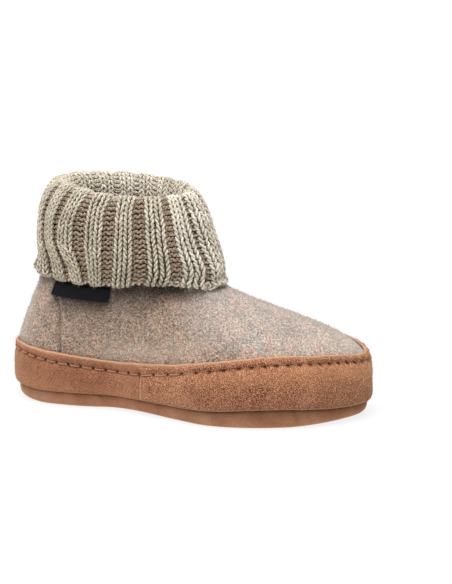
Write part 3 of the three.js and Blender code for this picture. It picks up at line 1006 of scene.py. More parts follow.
def outsole(material):
    """Soft sole: rolled lower edge, flat heel and forefoot, low arch and toe spring."""
    u = (np.arange(FELT_COLUMNS) + 0.5) / FELT_COLUMNS

    def ring(inset):
        """The felt's lower line, moved in from the sole's side."""
        return off_felt(u, np.zeros_like(u), np.full(u.shape, OUTSOLE_PROUD - inset))

    rings = []
    for angle in np.radians(np.linspace(0, 90, SOLE_EDGE_STEPS)):
        edge = ring(OUTSOLE_EDGE_RADIUS * (1 - math.sin(angle)))
        edge[:, 2] = OUTSOLE_EDGE_RADIUS * (1 - math.cos(angle)) + sole_lift(edge[:, 0])
        rings.append(edge)
    for share in SOLE_SIDE_SHARES:
        side = ring(0.0)
        low = OUTSOLE_EDGE_RADIUS + sole_lift(side[:, 0])
        high = feather_height(side[:, 0]) - GAP - OUTSOLE_TOP_CHAMFER
        side[:, 2] = (1 - share) * low + share * high
        rings.append(side)
    top = ring(OUTSOLE_TOP_CHAMFER)
    top[:, 2] = feather_height(top[:, 0]) - GAP
    stack = np.stack([*rings, top])
    climb = (stack[..., 2] - stack[0, :, 2]) / (stack[-1, :, 2] - stack[0, :, 2])
    shares, *shades = zip(*SOLE_SHADES)
    rear, front = (np.interp(climb, shares, shade) for shade in shades)
    shadow = rear + (front - rear) * smooth(stack[..., 0], *SOLE_FRONT_X)
    return loop_solid("outsole_suede", stack, False, material, {"shadow": shadow})


# Suede rand


# Stitch holes counted in the photograph from the heel round the outer side, and where some of them lie along
# the groove. Then places along the groove, and how far below the rand's edge it runs there.
COUNTED_HOLES = (
    (0, 15.0), (5, 44.0), (12, 88.0), (16, 121.5), (19, 143.0), (21, 155.5), (25, 177.5), (31, 207.0),
)
GROOVE_DROPS = (
    (0, 3.6), (16, 3.3), (45, 4.9), (70, 4.7), (90, 5.5),
    (130, 4.1), (142, 3.7), (170, 3.7), (207, 3.0), (240, 3.6),
)
# How far the groove's floor stands off the felt, beyond the gap
GROOVE_OUT = 1.5
# Towards the toe the groove is gathered: its holes are longer, and a crack joins them. That sets in between
# these x.
GATHER_X = (0.0, 35.0)
# Half length of a hole, and where gathered how much longer it is, how much it narrows below the groove and
# how far it sits lower; then its half height, and how much flatter it is where gathered
HOLE_LENGTH, HOLE_LONGER, HOLE_NARROWING, HOLE_LOWER = 0.8, 0.2, 0.45, 0.2
HOLE_HEIGHT, HOLE_FLATTER = 0.65, 0.1
# Height of the crack over the groove's line, and its width
CRACK_RISE, CRACK_WIDTH = 0.1, 0.4
# Suede pulled in around a hole, and more where gathered; then suede puffed up between holes: its width along
# the groove, and rows of height over the groove, width and share
PULL_WIDTH, PULL_GATHERED = 1.8, 0.8
PUFF_WIDTH = 1.9
PUFFS = ((-1.4, 1.1, 1.0), (1.5, 1.0, 0.5))
# Depths of these in the suede, height of the puffs and how much higher they are where gathered, and the
# thickness that is always left
HOLE_DEPTH, CRACK_DEPTH, PULL_DEPTH = 0.9, 0.25, 0.35
PUFF_HEIGHT, PUFF_GATHERED = 0.2, 0.4
THINNEST_RAND = 0.25
# Lumps of the rand's face and of its top edge: size, height and seed
RAND_LUMPS = ((7.0, 0.2, 3), (2.2, 0.12, 4))
EDGE_LUMPS = ((5.0, 0.3, 5),)
EDGE_LUMPS_SPAN = (0.2, 1.0)
# Pale raw edges: share of the rand's rows at the top and near the bottom, and widths in such shares; then
# the cut end of a piece: its width, share and where it ends below the groove
TOP_EDGE_WIDTH = 0.05
LOW_EDGE, LOW_EDGE_ROW, LOW_EDGE_WIDTH = 0.7, 0.03, 0.02
CUT_WIDTH, CUT_SHARE, CUT_HEIGHTS = 0.7, 0.35, (-1.0, 0.5)
# About the distance between two columns of the rand's mesh
COLUMN_STEP = 0.39
# Painted light high on the rand's front and low on its heel, and painted shade low on its front: their
# shares, the x where they set in, and shares of the way up the rand
TOE_LIGHT, TOE_LIGHT_MORE, TOE_LIGHT_X, TOE_LIGHT_SPAN = 0.15, 0.08, (35.0, 75.0), (0.45, 0.85, 0.9, 1.0)
HEEL_LIGHT, HEEL_LIGHT_SPAN = 0.1, (0.1, 0.6)
RAND_SHADE, RAND_SHADE_X, RAND_SHADE_SPAN = 0.18, (-18.0, 12.0), (0.05, 0.7)
# How strongly painted shade darkens the suede in a hole, how much of it the crack has, and the nap away from
# raw edges
HOLE_DARK, CRACK_DARK = 1.6, 0.1
RAND_NAP = 0.25
# Thread of a stitch: share of the stitch left bare at each hole, points, height over the groove, arch, depth
# and width of its dive into the holes, how far it is sunk where gathered, and its sides; then the number of
# places around the foot that the groove's length is read at
THREAD_INSET = 0.14
THREAD_STEPS = 11
THREAD_LIFT, THREAD_ARCH, THREAD_DIVE, THREAD_DIVE_WIDTH = 0.2, 0.25, 1.0, 0.08
THREAD_SINK = 1.7
THREAD_SIDES = 8
THREAD_PLACES = 4001


def groove_drop(u):
    """How far the stitched groove runs below the rand's top edge."""
    return np.interp(stitch_length(u)[0], *zip(*GROOVE_DROPS))


def rand_surface(u):
    """Heights and thicknesses of the rand's face, row by row from its lower edge to its top edge."""
    foot = foot_round(u)
    bottom, top, drop = feather_height(foot[:, 0]), foot[:, 2], groove_drop(u)
    rows = [(bottom + (top - drop - bottom) * share, np.full(u.shape, out)) for share, out in RAND_BODY]
    rows += [(top - drop * share, np.full(u.shape, out)) for share, out in RAND_TOP]
    face = catmull(np.stack(rows).swapaxes(1, 2), np.linspace(0, 1, RAND_ROWS), closed=False)
    return face[..., 0], face[..., 1]


def stitch_length(u):
    """Length along the stitched groove from the heel's back, and its whole round."""
    places = np.linspace(0, 1, RAND_COLUMNS + 1)
    level = level_at_height(places, foot_round(places)[:, 2] - STITCH_DROP)
    line = off_felt(places, level, np.full(places.shape, GAP + GROOVE_OUT))
    lengths = path_lengths(line[None])[0]
    return np.interp(np.mod(u, 1), places, lengths), lengths[-1]


def stitch_holes():
    """Lengths along the groove of all holes in the round: the seen ones, then evenly spaced ones."""
    whole = stitch_length(0.0)[1]
    counts, places = zip(*COUNTED_HOLES)
    seen = np.interp(np.arange(counts[-1] + 1), counts, places)
    unseen = seen[0] + whole - seen[-1]
    count = round(unseen / STITCH_PITCH)
    rest = seen[-1] + unseen * np.arange(1, count) / count
    return np.concatenate((seen, rest)), whole


def hole_distance(u):
    """Distance along the groove to the nearest hole, and to the nearest middle of a stitch."""
    holes, whole = stitch_holes()
    ring = np.append(holes, holes[0] + whole)
    length = stitch_length(u)[0][:, None]

    def nearest(places):
        """Distance to the nearest of some places along the groove."""
        return np.abs(np.mod(length - places + whole / 2, whole) - whole / 2).min(axis=1)

    return nearest(holes), nearest((ring[1:] + ring[:-1]) / 2)


def sewn_relief(u, beside, gathered):
    """Thickness that the stitches add to the rand, and the painted shade of its holes and their crack, by
    height over the groove.
    """
    to_hole, to_middle = hole_distance(u)
    length = HOLE_LENGTH + gathered * (HOLE_LONGER - HOLE_NARROWING * np.clip(-beside, 0, 1))
    hole = bell(to_hole / length, 1.0)
    hole = hole * bell(beside + HOLE_LOWER * gathered, HOLE_HEIGHT - HOLE_FLATTER * gathered)
    crack = gathered * bell(beside - CRACK_RISE, CRACK_WIDTH)
    pull = bell(to_hole, PULL_WIDTH) * bell(beside, PULL_WIDTH) * (1 + PULL_GATHERED * gathered)
    puff = bell(to_middle, PUFF_WIDTH) * sum(part * bell(beside - away, width) for away, width, part in PUFFS)
    relief = (PUFF_HEIGHT + PUFF_GATHERED * gathered) * puff
    relief = relief - HOLE_DEPTH * hole - CRACK_DEPTH * crack - PULL_DEPTH * pull
    return relief, HOLE_DARK * (hole + CRACK_DARK * crack)


def raw_edges(beside, rough):
    """Pale raw suede at the rand's top and bottom edge, and at the cut ends of a rough piece."""
    rows, columns = beside.shape
    row = np.linspace(0, 1, rows)[:, None]
    edges = np.maximum(bell(1 - row, TOP_EDGE_WIDTH), LOW_EDGE * bell(row - LOW_EDGE_ROW, LOW_EDGE_WIDTH))
    column = np.arange(columns)
    end_distance = COLUMN_STEP * np.minimum(column, column[::-1])
    cut = rough * bell(end_distance, CUT_WIDTH) * (1 - smooth(beside, *CUT_HEIGHTS))
    return np.maximum(edges, CUT_SHARE * cut)


def rand_light_and_shade(x, up, gathered):
    """Painted light and painted shade on the suede, by x and by share of the way up from the rand's lower
    edge to its groove.
    """
    toe = (TOE_LIGHT + TOE_LIGHT_MORE * smooth(x, *TOE_LIGHT_X)) * gathered * between(up, *TOE_LIGHT_SPAN)
    heel = HEEL_LIGHT * (1 - gathered) * (1 - smooth(up, *HEEL_LIGHT_SPAN))
    return toe + heel, RAND_SHADE * smooth(x, *RAND_SHADE_X) * (1 - smooth(up, *RAND_SHADE_SPAN))


def rand_piece(name, start, end, material, rough):
    """One stretch of the suede rand: rolled faces, sewn groove with puckers, holes and raw edges."""
    steps = round((end - start) * RAND_COLUMNS)
    u = np.linspace(start + JOIN_HALF_GAP, end - JOIN_HALF_GAP, steps + 1)
    x, _, top = foot_round(u).T
    height, thickness = rand_surface(u)
    drop, below = groove_drop(u), feather_height(x)
    groove = top - drop
    beside = height - groove
    gathered = smooth(x, *GATHER_X)
    relief, hole = sewn_relief(u, beside, gathered)
    raw = raw_edges(beside, rough)
    lit_suede, darkening = rand_light_and_shade(x, (height - below) / (groove - below), gathered)
    surface = felt_point(u[None, :], np.full(height.shape, SHOULDER_LEVEL))
    surface[..., 2] = height
    thickness = np.maximum(thickness + relief + rough * uneven(surface, RAND_LUMPS), THINNEST_RAND)
    height = height + uneven(surface[-1], EDGE_LUMPS) * smooth(beside / drop, *EDGE_LUMPS_SPAN)
    grid_u = np.broadcast_to(u, height.shape)
    level = level_at_height(grid_u, height)
    outside = off_felt(grid_u, level, GAP + thickness)
    inside = off_felt(grid_u[::-3], level[::-3], np.full(grid_u[::-3].shape, GAP))
    # Painted shade in the holes and low on the front, painted light high on the front and low on the heel
    looks = {
        "hole": np.clip(hole, 0, 1), "raw_edge": raw, "lit_suede": lit_suede, "shadow": darkening,
        "nap": RAND_NAP + (1 - RAND_NAP) * raw,
    }
    none = np.zeros(inside.shape[:2])
    return loop_solid(
        name, np.concatenate((outside, inside)).swapaxes(0, 1), False, material,
        {label: np.concatenate((field, none)).T for label, field in looks.items()},
    )


def swept_piece(sweep, name, paths, closed, radius, sides, material, values):
    """Paths swept to yarn or thread of a radius."""
    skeleton = path_mesh(name + "_paths", paths, closed, {**values, "along": path_lengths(paths)})
    piece = sweep.run(name, skeleton, {"Radius": radius * MM, "Sides": sides, "Material": material})
    bpy.data.objects.remove(skeleton)
    return piece


def rand_stitches(sweep, material):
    """Sewn thread: one raised run between each pair of holes, deeper in its groove towards the toe."""
    places = np.linspace(0, 1, THREAD_PLACES)
    length, whole = stitch_length(places)
    length[-1] = whole
    holes, _ = stitch_holes()
    spans = np.diff(np.append(holes, holes[0] + whole))[:, None]
    across = np.linspace(THREAD_INSET, 1 - THREAD_INSET, THREAD_STEPS)
    u = np.interp(np.mod(holes[:, None] + across * spans, whole), length, places)
    foot = foot_round(u)
    to_end = np.minimum(across - THREAD_INSET, 1 - THREAD_INSET - across) / (1 - 2 * THREAD_INSET)
    arch = THREAD_LIFT + THREAD_ARCH * np.sin(math.pi * across)
    rise = arch - THREAD_DIVE * bell(to_end, THREAD_DIVE_WIDTH)
    sink = THREAD_SINK * smooth(foot[..., 0], *GATHER_X)
    level = level_at_height(u, foot[..., 2] - groove_drop(u))
    paths = off_felt(u, level, GAP + GROOVE_OUT + rise - sink)
    values = {"thickness": np.ones(u.shape)}
    return swept_piece(sweep, "rand_stitches", paths, False, STITCH_RADIUS, THREAD_SIDES, material, values)


# Knit


KNIT_COLUMNS = 768
KNIT_STEPS = 240
KNIT_SEED = 3
# Shares of the round between which the hem is tucked in at the front
TUCK_SPAN = (0.3, 0.42, 0.58, 0.72)
# Rows of the cuff's path that lie on its crest
CREST_ROWS = slice(4, 7)
# The four wales of a rib repeat: their borders as shares of the repeat, and +1 for knit or -1 for purl
WALES = (
    (0.0, KNIT_SHARE / 2, 1),
    (KNIT_SHARE / 2, KNIT_SHARE, 1),
    (KNIT_SHARE, (1 + KNIT_SHARE) / 2, -1),
    ((1 + KNIT_SHARE) / 2, 1.0, -1),
)
REPEAT_START = VALLEY_SHARE - (1 + KNIT_SHARE) / 2 / RIB_COUNT
# Distances from a rib's middle, in repeats, where its side begins and where the valley's floor begins; then
# the share by which the ribs are lower inside, and the rises over which they get lower
RIB_SIDE = (0.21, 0.38)
INSIDE_LOWER, LOWER_RISES = 0.5, (0.3, 0.46)
# How the ribs lie on the cuff, set after the photograph. A bend has its middle and its reach, as shares of
# the round, and its size at BEND_RISES, shares of the way from hem over crest to inner hem.
BEND_RISES = (0.0, 0.1, 0.2, 0.3, 0.4, 0.5, 1.0)
# How far the ribs drift round the cuff, in ribs
RIB_LEANS = (
    (0.06, 0.09, (0.60, 0.45, 0.10, 0.10, 0.35, 0.35, 0.05)),
    (0.16, 0.05, (0.10, 0.00, -0.25, -0.20, 0.00, 0.10, 0.00)),
    (0.28, 0.07, (-0.30, -0.25, -0.10, 0.00, 0.10, 0.10, 0.10)),
    (0.38, 0.05, (0.00, 0.00, 0.05, 0.10, 0.15, 0.20, 0.05)),
    (0.46, 0.06, (0.10, -0.05, -0.20, -0.25, -0.15, 0.00, 0.05)),
)
# How far the valleys are closed, as a share of the repeat: at the heel and the front, and all round inside
VALLEY_CLOSINGS = (
    (0.05, 0.10, (0.10, 0.15, 0.15, 0.10, 0.05, 0.00, 0.00)),
    (0.46, 0.07, (0.10, 0.25, 0.30, 0.30, 0.30, 0.20, 0.20)),
)
INNER_CLOSING = 0.16
CREST_RISES = (0.4, 0.47)
INSIDE_RISES = (0.42, 0.54)
# Random unevenness of the stitches: sideways, in height, in depth and in thickness
JOG_ACROSS, JOG_UP, JOG_DEEP, JOG_THICK = 0.022, 0.05, 0.09, 0.06
# How far the first course is drawn up at the hem: twice this on a rib, and not at all in a valley
HEM_PULL = 0.13
# Shares of the round of the cuff's front, and of all but its back
FRONT_SPAN = (0.34, 0.43, 0.56, 0.66)
BEYOND_BACK = (0.03, 0.12, 0.88, 0.97)
# Cream against brown: sides of the knit between which the tone changes, and how much paler it is inside, as
# painted light on the lit inner face
TONE_SIDES, INSIDE_TONE = (-0.6, 0.6), 0.45
# Shade in the loops: how much less inside and at the front, and how much more low on the cuff
INSIDE_OPEN, FRONT_OPEN = 0.6, 0.32
LOW_SHADE, LOW_RISES = 0.12, (0.06, 0.2)
# Painted light on the yarn: inside, at the back, at the front, and high on the cuff
INSIDE_LIT, BACK_LIT, FRONT_LIT = 0.4, 0.22, 0.6
HIGH_LIT, HIGH_RISES = 0.14, (0.18, 0.38)
# Cord of the hem: how far its wobble moves its turns and its rise, its fleck and how far that wobbles; then
# its shade, its thickness and the step in rise that finds the way up
CORD_SEED = 8
CORD_SWAY, CORD_STRAY, CORD_FLECK, CORD_FLECK_SWAY = 0.5, 0.0015, 0.5, 0.2
CORD_SHADE, CORD_THICKNESS, CORD_UP_STEP = 0.3, 0.85, 0.01
# Backing of the knit: one column for so many of the skin's, its rows and the rises between which it lies;
# then the height of its ribs, and how far its front and its back face lie behind the skin
BACKING_SKIP, BACKING_ROWS, BACKING_RISES = 6, 50, (0.012, 0.988)
BACKING_RIBS = 0.5 * RIB_RELIEF
BACKING_FRONT = 2 * LOOP_DEPTH + 1.5 * YARN_RADIUS
BACKING_BACK = KNIT_THICKNESS - 0.1


def cuff_skin():
    """The cuff's outer skin: evenly spaced steps from hem over the crest to the inner hem, and normals."""
    share = np.arange(KNIT_COLUMNS) / KNIT_COLUMNS
    u = foot_at_collar(share)
    hem_height = lead_round(u)[:, 2] + np.interp(share, *zip(*HEM_RAISES))
    tuck_height = hem_height - HEM_TUCK * between(share, *TUCK_SPAN)
    inside = -FELT_WALL - SLOT_GAP - KNIT_THICKNESS

    def beside_felt(level, distance):
        """Points all round that stand off the felt by one distance."""
        return off_felt(u, level, np.full(u.shape, distance))

    path = np.stack([
        beside_felt(level_at_height(u, tuck_height), SLOT_GAP + HEM_LIFT),
        beside_felt(level_at_height(u, hem_height), SLOT_GAP + KNIT_THICKNESS),
        *(oval_reader(row)(share) for row in CUFF_OVALS),
        beside_felt(np.full(u.shape, COLLAR_LEVEL), inside),
        beside_felt(np.full(u.shape, INNER_HEM_LEVEL), inside),
    ])
    path[CREST_ROWS, :, 2] += CREST_SWELL * bell(share - CREST_SWELL_SHARE, CREST_SWELL_SPREAD)
    even = np.linspace(0, 1, KNIT_STEPS + 1)
    fine = catmull(path, even, closed=False)
    lengths = path_lengths(fine.swapaxes(0, 1))
    skin = np.empty_like(fine)
    for column in range(KNIT_COLUMNS):
        places = even * lengths[column, -1]
        for axis in range(3):
            skin[:, column, axis] = np.interp(places, lengths[column], fine[:, column, axis])
    around = np.roll(skin, -1, axis=1) - np.roll(skin, 1, axis=1)
    along = np.gradient(skin, axis=0)
    return skin, unit(np.cross(around, along)), lengths[:, -1].mean()


def read_skin(field, share, rise):
    """Reads a field of the skin at shares of the round and of the way from hem to inner hem."""
    column = np.mod(share, 1) * KNIT_COLUMNS
    step = np.clip(rise, 0, 1) * KNIT_STEPS
    c0 = np.floor(column).astype(int) % KNIT_COLUMNS
    s0 = np.minimum(np.floor(step).astype(int), KNIT_STEPS - 1)
    fc, fs = (column - np.floor(column))[..., None], (step - s0)[..., None]
    c1 = (c0 + 1) % KNIT_COLUMNS
    low = field[s0, c0] * (1 - fc) + field[s0, c1] * fc
    high = field[s0 + 1, c0] * (1 - fc) + field[s0 + 1, c1] * fc
    return low * (1 - fs) + high * fs


def rib_relief(share, rise):
    """Height of the ribs, from 1 on a rib to -1 in a valley, lower over the crest and inside."""
    place = np.mod((share - REPEAT_START) * RIB_COUNT - KNIT_SHARE / 2 + 0.5, 1) - 0.5
    return (1 - 2 * smooth(np.abs(place), *RIB_SIDE)) * (1 - INSIDE_LOWER * smooth(rise, *LOWER_RISES))


def read_bends(bends, share, rise):
    """Adds up the soft bends at places of the cuff."""
    share, rise = np.broadcast_arrays(share, rise)
    total = np.zeros(share.shape)
    for middle, reach, sizes in bends:
        away = np.mod(share - middle + 0.5, 1) - 0.5
        total = total + bell(away, reach) * np.interp(rise, BEND_RISES, sizes)
    return total


def valley_closing(share, rise):
    """How far the valleys are closed at places of the cuff."""
    inward = np.interp(rise, CREST_RISES, (0.0, INNER_CLOSING))
    return np.maximum(read_bends(VALLEY_CLOSINGS, share, rise), inward)


def lay_ribs(share, rise):
    """Moves places round the cuff so that the valleys close and the ribs lean as set above."""
    place = (share - REPEAT_START) * RIB_COUNT
    within = np.mod(place, 1)
    wide = KNIT_SHARE + valley_closing(share, rise)
    rib = within / KNIT_SHARE * wide
    valley = wide + (within - KNIT_SHARE) / (1 - KNIT_SHARE) * (1 - wide)
    moved = REPEAT_START + (np.floor(place) + np.where(within < KNIT_SHARE, rib, valley)) / RIB_COUNT
    return moved + read_bends(RIB_LEANS, moved, rise) / RIB_COUNT


def front_share(share):
    """One at the front of the cuff, where its ribs spread towards the light, and none at its sides."""
    return between(np.mod(share, 1), *FRONT_SPAN)


def wale_round():
    """Starts and widths of all wales as shares of the round, and their sides."""
    count = RIB_COUNT * len(WALES)
    start, end, sides = np.array([WALES[wale % len(WALES)] for wale in range(count)]).T
    return (np.arange(count) // len(WALES) + start) / RIB_COUNT, (end - start) / RIB_COUNT, sides


def loop_side(sides, turn):
    """Side of the knit that each loop lies on, halfway to its neighbours' sides at its two ends."""
    own = sides[:, None]
    before, after = ((own + np.roll(sides, shift)[:, None]) / 2 for shift in (1, -1))
    side = before + (own - before) * smooth(turn, 0, 0.5 * math.pi)
    return side + (after - own) * smooth(turn, 1.5 * math.pi, 2 * math.pi)


def yarn_looks(share, rise, side, front, inside, hem):
    """Tone of the yarn from brown to cream, its shade where it lies deep, and how pale the light makes it."""
    ahead = front_share(share)
    back = 1 - between(np.mod(share, 1), *BEYOND_BACK)
    tone = np.clip(np.maximum(smooth(side, *TONE_SIDES), hem) + INSIDE_TONE * inside, 0, 1)
    low = LOW_SHADE * (1 - smooth(rise, *LOW_RISES)) * (1 - ahead)
    deep = (1 - front) / 2 * (1 - INSIDE_OPEN * inside) * (1 - FRONT_OPEN * ahead) + low
    high = HIGH_LIT * smooth(rise, *HIGH_RISES)
    outer_lit = np.maximum(FRONT_LIT * ahead, high) * tone
    lit = np.maximum(np.maximum(INSIDE_LIT * inside, BACK_LIT * back), outer_lit)
    return {"tone": tone, "deep": deep, "lit": lit}


def knit_courses(skin, normal, courses, first, last):
    """Yarn paths of the knit's courses, with tone, depth, thickness and a random fleck for each stitch."""
    dice = np.random.default_rng(KNIT_SEED + first)
    starts, widths, sides = wale_round()
    stitches = (last - first, len(sides))
    sideways, upward, deeper, thicker = np.moveaxis(dice.normal(0, 1, (*stitches, 4)), -1, 0)[..., None]
    t = 2 * math.pi * (np.arange(LOOP_STEPS) + 0.5) / LOOP_STEPS
    side = loop_side(sides, t)
    course = np.arange(first, last)[:, None, None]
    across = t / (2 * math.pi) + LOOP_NECK * np.sin(2 * t) + JOG_ACROSS * sideways
    share = REPEAT_START + starts[:, None] + widths[:, None] * across
    reach = (LOOP_HEIGHT + PURL_HEIGHT) / 2 + side * (LOOP_HEIGHT - PURL_HEIGHT) / 2
    hem_reach = CAST_ON_REACH - HEM_PULL * (1 + side)
    reach = np.where((course < 1) & (np.cos(t) > 0), hem_reach, reach) + JOG_UP * upward
    rise = (course + CAST_ON_REACH - reach * np.cos(t)) / (courses + CAST_ON_REACH)
    front = -side * np.cos(2 * t)
    inside = smooth(rise, *INSIDE_RISES)
    depth = RIB_RELIEF * rib_relief(share, rise) - LOOP_DEPTH - YARN_RADIUS
    depth = depth + LOOP_DEPTH * front + JOG_DEEP * deeper
    depth = depth - CLOSED_SINK * valley_closing(share, rise) * (1 - side) / 2 * (1 - inside)
    share = lay_ribs(share, rise)
    paths = read_skin(skin, share, rise) + read_skin(normal, share, rise) * depth[..., None]
    values = yarn_looks(share, rise, side, front, inside, np.where(course < 1, 1.0, 0.0))
    values["thickness"] = 1 + JOG_THICK * thicker
    values["fleck"] = dice.random((*stitches, 1))
    flat = (last - first, len(sides) * LOOP_STEPS)
    spread = {name: np.broadcast_to(field, share.shape).reshape(flat) for name, field in values.items()}
    return paths.reshape(*flat, 3), spread


def knit_yarn(name, sweep, skin, normal, courses, first, last, material):
    """One stretch of the knit as swept yarn."""
    paths, values = knit_courses(skin, normal, courses, first, last)
    values["nap"] = np.ones(paths.shape[:2])
    return swept_piece(sweep, name, paths, True, YARN_RADIUS, YARN_SIDES, material, values)


def hem_cord(sweep, skin, normal, material):
    """Cast-on edge: yarn that winds along the hem and ties the ends of the ribs together."""
    steps = CORD_TURNS * CORD_STEPS
    share = np.arange(steps) / steps
    draws = np.random.default_rng(CORD_SEED).normal(0, 1, CORD_TURNS)
    wobble = np.interp(share * CORD_TURNS, np.arange(CORD_TURNS + 1), np.append(draws, draws[0]))
    turn = 2 * math.pi * CORD_TURNS * share + CORD_SWAY * wobble
    rise = CORD_RISE + CORD_STRAY * wobble
    place, out = read_skin(skin, share, rise), read_skin(normal, share, rise)
    up = unit(read_skin(skin, share, rise + CORD_UP_STEP) - place)
    around = np.cos(turn)[:, None] * out + np.sin(turn)[:, None] * up
    path = place - CORD_DEPTH * out + CORD_RADIUS * around
    values = {
        "tone": np.ones(steps), "deep": CORD_SHADE * (1 - np.cos(turn)), "lit": np.zeros(steps),
        "thickness": np.full(steps, CORD_THICKNESS), "fleck": CORD_FLECK + CORD_FLECK_SWAY * wobble,
        "nap": np.ones(steps),
    }
    return swept_piece(sweep, "hem_cord", path[None], True, YARN_RADIUS, YARN_SIDES, material, values)


def knit_backing(skin, normal, material):
    """The inner face of the knit behind its loops, one closed layer from hem to inner hem."""
    columns = np.arange(0, KNIT_COLUMNS, BACKING_SKIP) / KNIT_COLUMNS
    share, rise = np.meshgrid(columns, np.linspace(*BACKING_RISES, BACKING_ROWS))
    ribs = BACKING_RIBS * rib_relief(share, rise)
    share = lay_ribs(share, rise)
    points, outward = read_skin(skin, share, rise), read_skin(normal, share, rise)
    front = points + outward * (ribs - BACKING_FRONT)[..., None]
    back = points - outward * BACKING_BACK
    ahead = front_share(share)
    values = {"ahead": np.concatenate((ahead, ahead[::-1]))}
    return loop_solid("knit_backing", np.concatenate((front, back[::-1])), True, material, values)


# Woven tab


TAB_LENGTH, TAB_HEIGHT = 34.0, 7.0
TAB_COLUMNS, TAB_ROWS = 60, 12
# Swell of the tab away from its ends, and dent of the seams near them: size, place and width as shares of
# its length; then the share of its thickness that is left at its rim, and the rim's width
TAB_SWELL, TAB_SWELL_ENDS = 0.35, (0.0, 0.1)
TAB_DENT, TAB_DENT_PLACE, TAB_DENT_WIDTH = 0.25, 0.07, 0.015
TAB_RIM, TAB_RIM_WIDTH = 0.55, 0.5


def woven_tab(material):
    """Small dark tab on the felt, its ends turned under and sewn down."""
    t, v = np.meshgrid(np.linspace(0, 1, TAB_COLUMNS), np.linspace(0, 1, TAB_ROWS))
    share, low, high = (rear + (front - rear) * t for rear, front in zip(*TAB_ENDS))
    u = foot_at_collar(share)
    level = level_at_height(u, low + (high - low) * v)
    ends = np.minimum(t, 1 - t)
    swell = TAB_SWELL * smooth(ends, *TAB_SWELL_ENDS) - TAB_DENT * bell(ends - TAB_DENT_PLACE, TAB_DENT_WIDTH)
    rim = np.minimum(np.minimum(v, 1 - v) * TAB_HEIGHT, ends * TAB_LENGTH)
    left = TAB_RIM + (1 - TAB_RIM) * smooth(rim, 0, TAB_RIM_WIDTH)
    face = off_felt(u, level, GAP + (TAB_THICKNESS - GAP + swell) * left)
    under = off_felt(u, level, np.full(u.shape, GAP))
    return loop_solid("woven_tab", np.concatenate((face, under[::-1])).swapaxes(0, 1), False, material, {
        "tab_along": TAB_LENGTH * np.concatenate((t, t)).T,
        "tab_up": TAB_HEIGHT * np.concatenate((v, v[::-1])).T,
    })


# Scene


WHITE = (1.0, 1.0, 1.0, 1.0)
FLOOR_HALF = 6.0
INNER_FELT_DIM = "#d8d2ca"
# Suedes: tones, size and depth of the nap, share of its finger marks, and reach of the tones
SUEDES = {
    "toe_suede": (TOE_SUEDE_TONES, 0.42, 0.42, 0.08, 0.08),
    "heel_suede": (HEEL_SUEDE_TONES, 0.42, 0.25, 0.12, 0.09),
    "sole_suede": (SOLE_TONES, 0.5, 0.15, 0.4, 0.11),
}
# How strongly the lumps show on the rand's front and rear piece
TOE_ROUGH, HEEL_ROUGH = 1.0, 0.3
# Loose fibres: density per square metre, length, width, seed and tones
FIBRES = {
    "felt_fibres": (
        9.0e5, 1.7, 0.05, 5, ((0.0, "#6b594b"), (0.35, "#a39080"), (0.7, "#cabfb1"), (1.0, "#eee8de")),
    ),
    "knit_fuzz": (3.0e5, 1.9, 0.06, 6, ((0.0, "#a2937b"), (0.5, "#d6cdb8"), (1.0, "#f1ecdf"))),
    "suede_fluff": (3.6e6, 1.1, 0.05, 7, ((0.0, "#9a6a4a"), (0.5, "#c39270"), (1.0, "#e3bd9e"))),
}


def direction(azimuth, elevation):
    """The way towards a place at two angles in degrees: round from the outer side, and up."""
    azimuth, elevation = math.radians(azimuth), math.radians(elevation)
    level = math.cos(elevation)
    return Vector((math.sin(azimuth) * level, -math.cos(azimuth) * level, math.sin(elevation)))


def place_camera():
    """The camera at the photograph's angles."""
    back = direction(VIEW_AZIMUTH, VIEW_ELEVATION)
    data = bpy.data.cameras.new("camera")
    data.sensor_width = SENSOR
    data.lens = FOCAL_PIXELS * SENSOR / PICTURE_HEIGHT
    camera = new_object("camera", data)
    camera.location = Vector(VIEW_TARGET) + VIEW_DISTANCE * back
    camera.rotation_euler = back.to_track_quat("Z", "Y").to_euler()
    bpy.context.scene.camera = camera


def lay_floor():
    """A pale floor that glows a little."""
    mesh = bpy.data.meshes.new("floor")
    corners = ((-1, -1), (1, -1), (1, 1), (-1, 1))
    mesh.from_pydata([(FLOOR_HALF * x, FLOOR_HALF * y, 0.0) for x, y in corners], [], [(0, 1, 2, 3)])
    floor = new_object("floor", mesh)
    pale = Finish("pale_floor", roughness=0.9, specular=0.0)
    pale.put(pale.shader["Emission Color"], WHITE)
    pale.put(pale.shader["Emission Strength"], FLOOR_GLOW)
    mesh.materials.append(pale.done(colour(FLOOR_TONE)))


def light_scene():
    """A pale surround, and one broad soft light from above."""
    world = bpy.data.worlds.new("studio")
    world.use_nodes = True
    surround = world.node_tree.nodes["Background"].inputs
    surround["Color"].default_value = WHITE
    surround["Strength"].default_value = SURROUND
    bpy.context.scene.world = world
    bpy.context.scene.view_settings.view_transform = "Standard"
    data = bpy.data.lights.new("overhead", "SUN")
    data.angle = math.radians(LIGHT_SPREAD)
    data.energy = LIGHT_STRENGTH
    toward = direction(LIGHT_AZIMUTH, LIGHT_ELEVATION)
    new_object("overhead", data).rotation_euler = toward.to_track_quat("Z", "Y").to_euler()


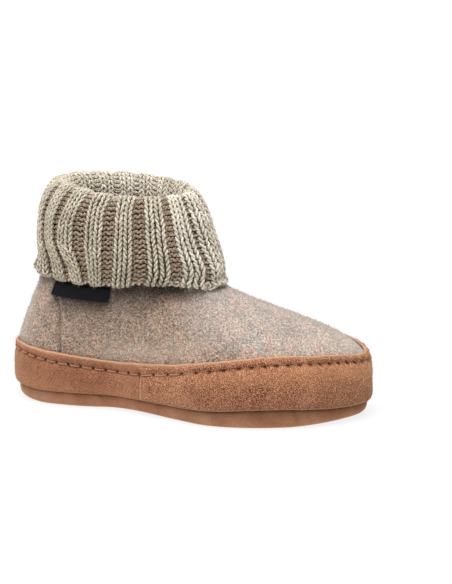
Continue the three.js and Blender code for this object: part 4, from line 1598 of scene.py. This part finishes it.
def build_foot(sweep):
    """Sole, insole, felt, rand, stitches and tab; returns the pieces that fibres grow on."""
    toe_suede, heel_suede, sole_suede = (suede_finish(name, *looks) for name, looks in SUEDES.items())
    dress(outsole(sole_suede), "sole_suede", "outsole")
    dress(insole(felt_finish("inner_felt", INNER_FELT_DIM)), "inner_felt", "insole")
    upper = dress(felt_upper(felt_finish("felt")), "felt", "upper")
    toe = rand_piece("rand_toe_suede", RAND_JOIN, 1 - RAND_JOIN, toe_suede, TOE_ROUGH)
    heel = rand_piece("rand_heel_suede", 1 - RAND_JOIN, 1 + RAND_JOIN, heel_suede, HEEL_ROUGH)
    dress(toe, "rand_suede", "rand_toe")
    dress(heel, "rand_suede", "rand_heel")
    dress(rand_stitches(sweep, thread_finish()), "rand_suede")
    dress(woven_tab(tab_finish()), "tab_weave", "label_tab")
    return upper, toe, heel


def build_cuff(sweep):
    """The knitted cuff; returns the outer yarn, which fuzz grows on."""
    skin, normal, length = cuff_skin()
    courses = round(length / COURSE_PITCH)
    middle = courses // 2
    yarn = yarn_finish()
    dress(knit_backing(skin, normal, backing_finish()), "knit", "cuff")
    outer = dress(knit_yarn("knit_outer", sweep, skin, normal, courses, 0, middle, yarn), "knit")
    dress(knit_yarn("knit_inner", sweep, skin, normal, courses, middle, courses, yarn), "knit")
    dress(hem_cord(sweep, skin, normal, yarn), "knit")
    return outer


def fibre_values(name):
    """Inputs of the fibre tree for one kind of fibre."""
    density, length, width, seed, tones = FIBRES[name]
    return {
        "Density": density, "Length": length * MM, "Width": width * MM, "Seed": seed,
        "Material": fibre_finish(name, tones),
    }


def build():
    place_camera()
    lay_floor()
    light_scene()
    sweep = yarn_tree()
    upper, toe, heel = build_foot(sweep)
    outer = build_cuff(sweep)
    growth = fibre_tree()
    dress(growth.run("felt_fibres", upper, fibre_values("felt_fibres")), "felt")
    dress(growth.run("knit_fuzz", outer, fibre_values("knit_fuzz")), "knit")
    fluff = fibre_values("suede_fluff")
    dress(growth.run("toe_fluff", toe, fluff), "rand_suede")
    dress(growth.run("heel_fluff", heel, fluff), "rand_suede")


build()
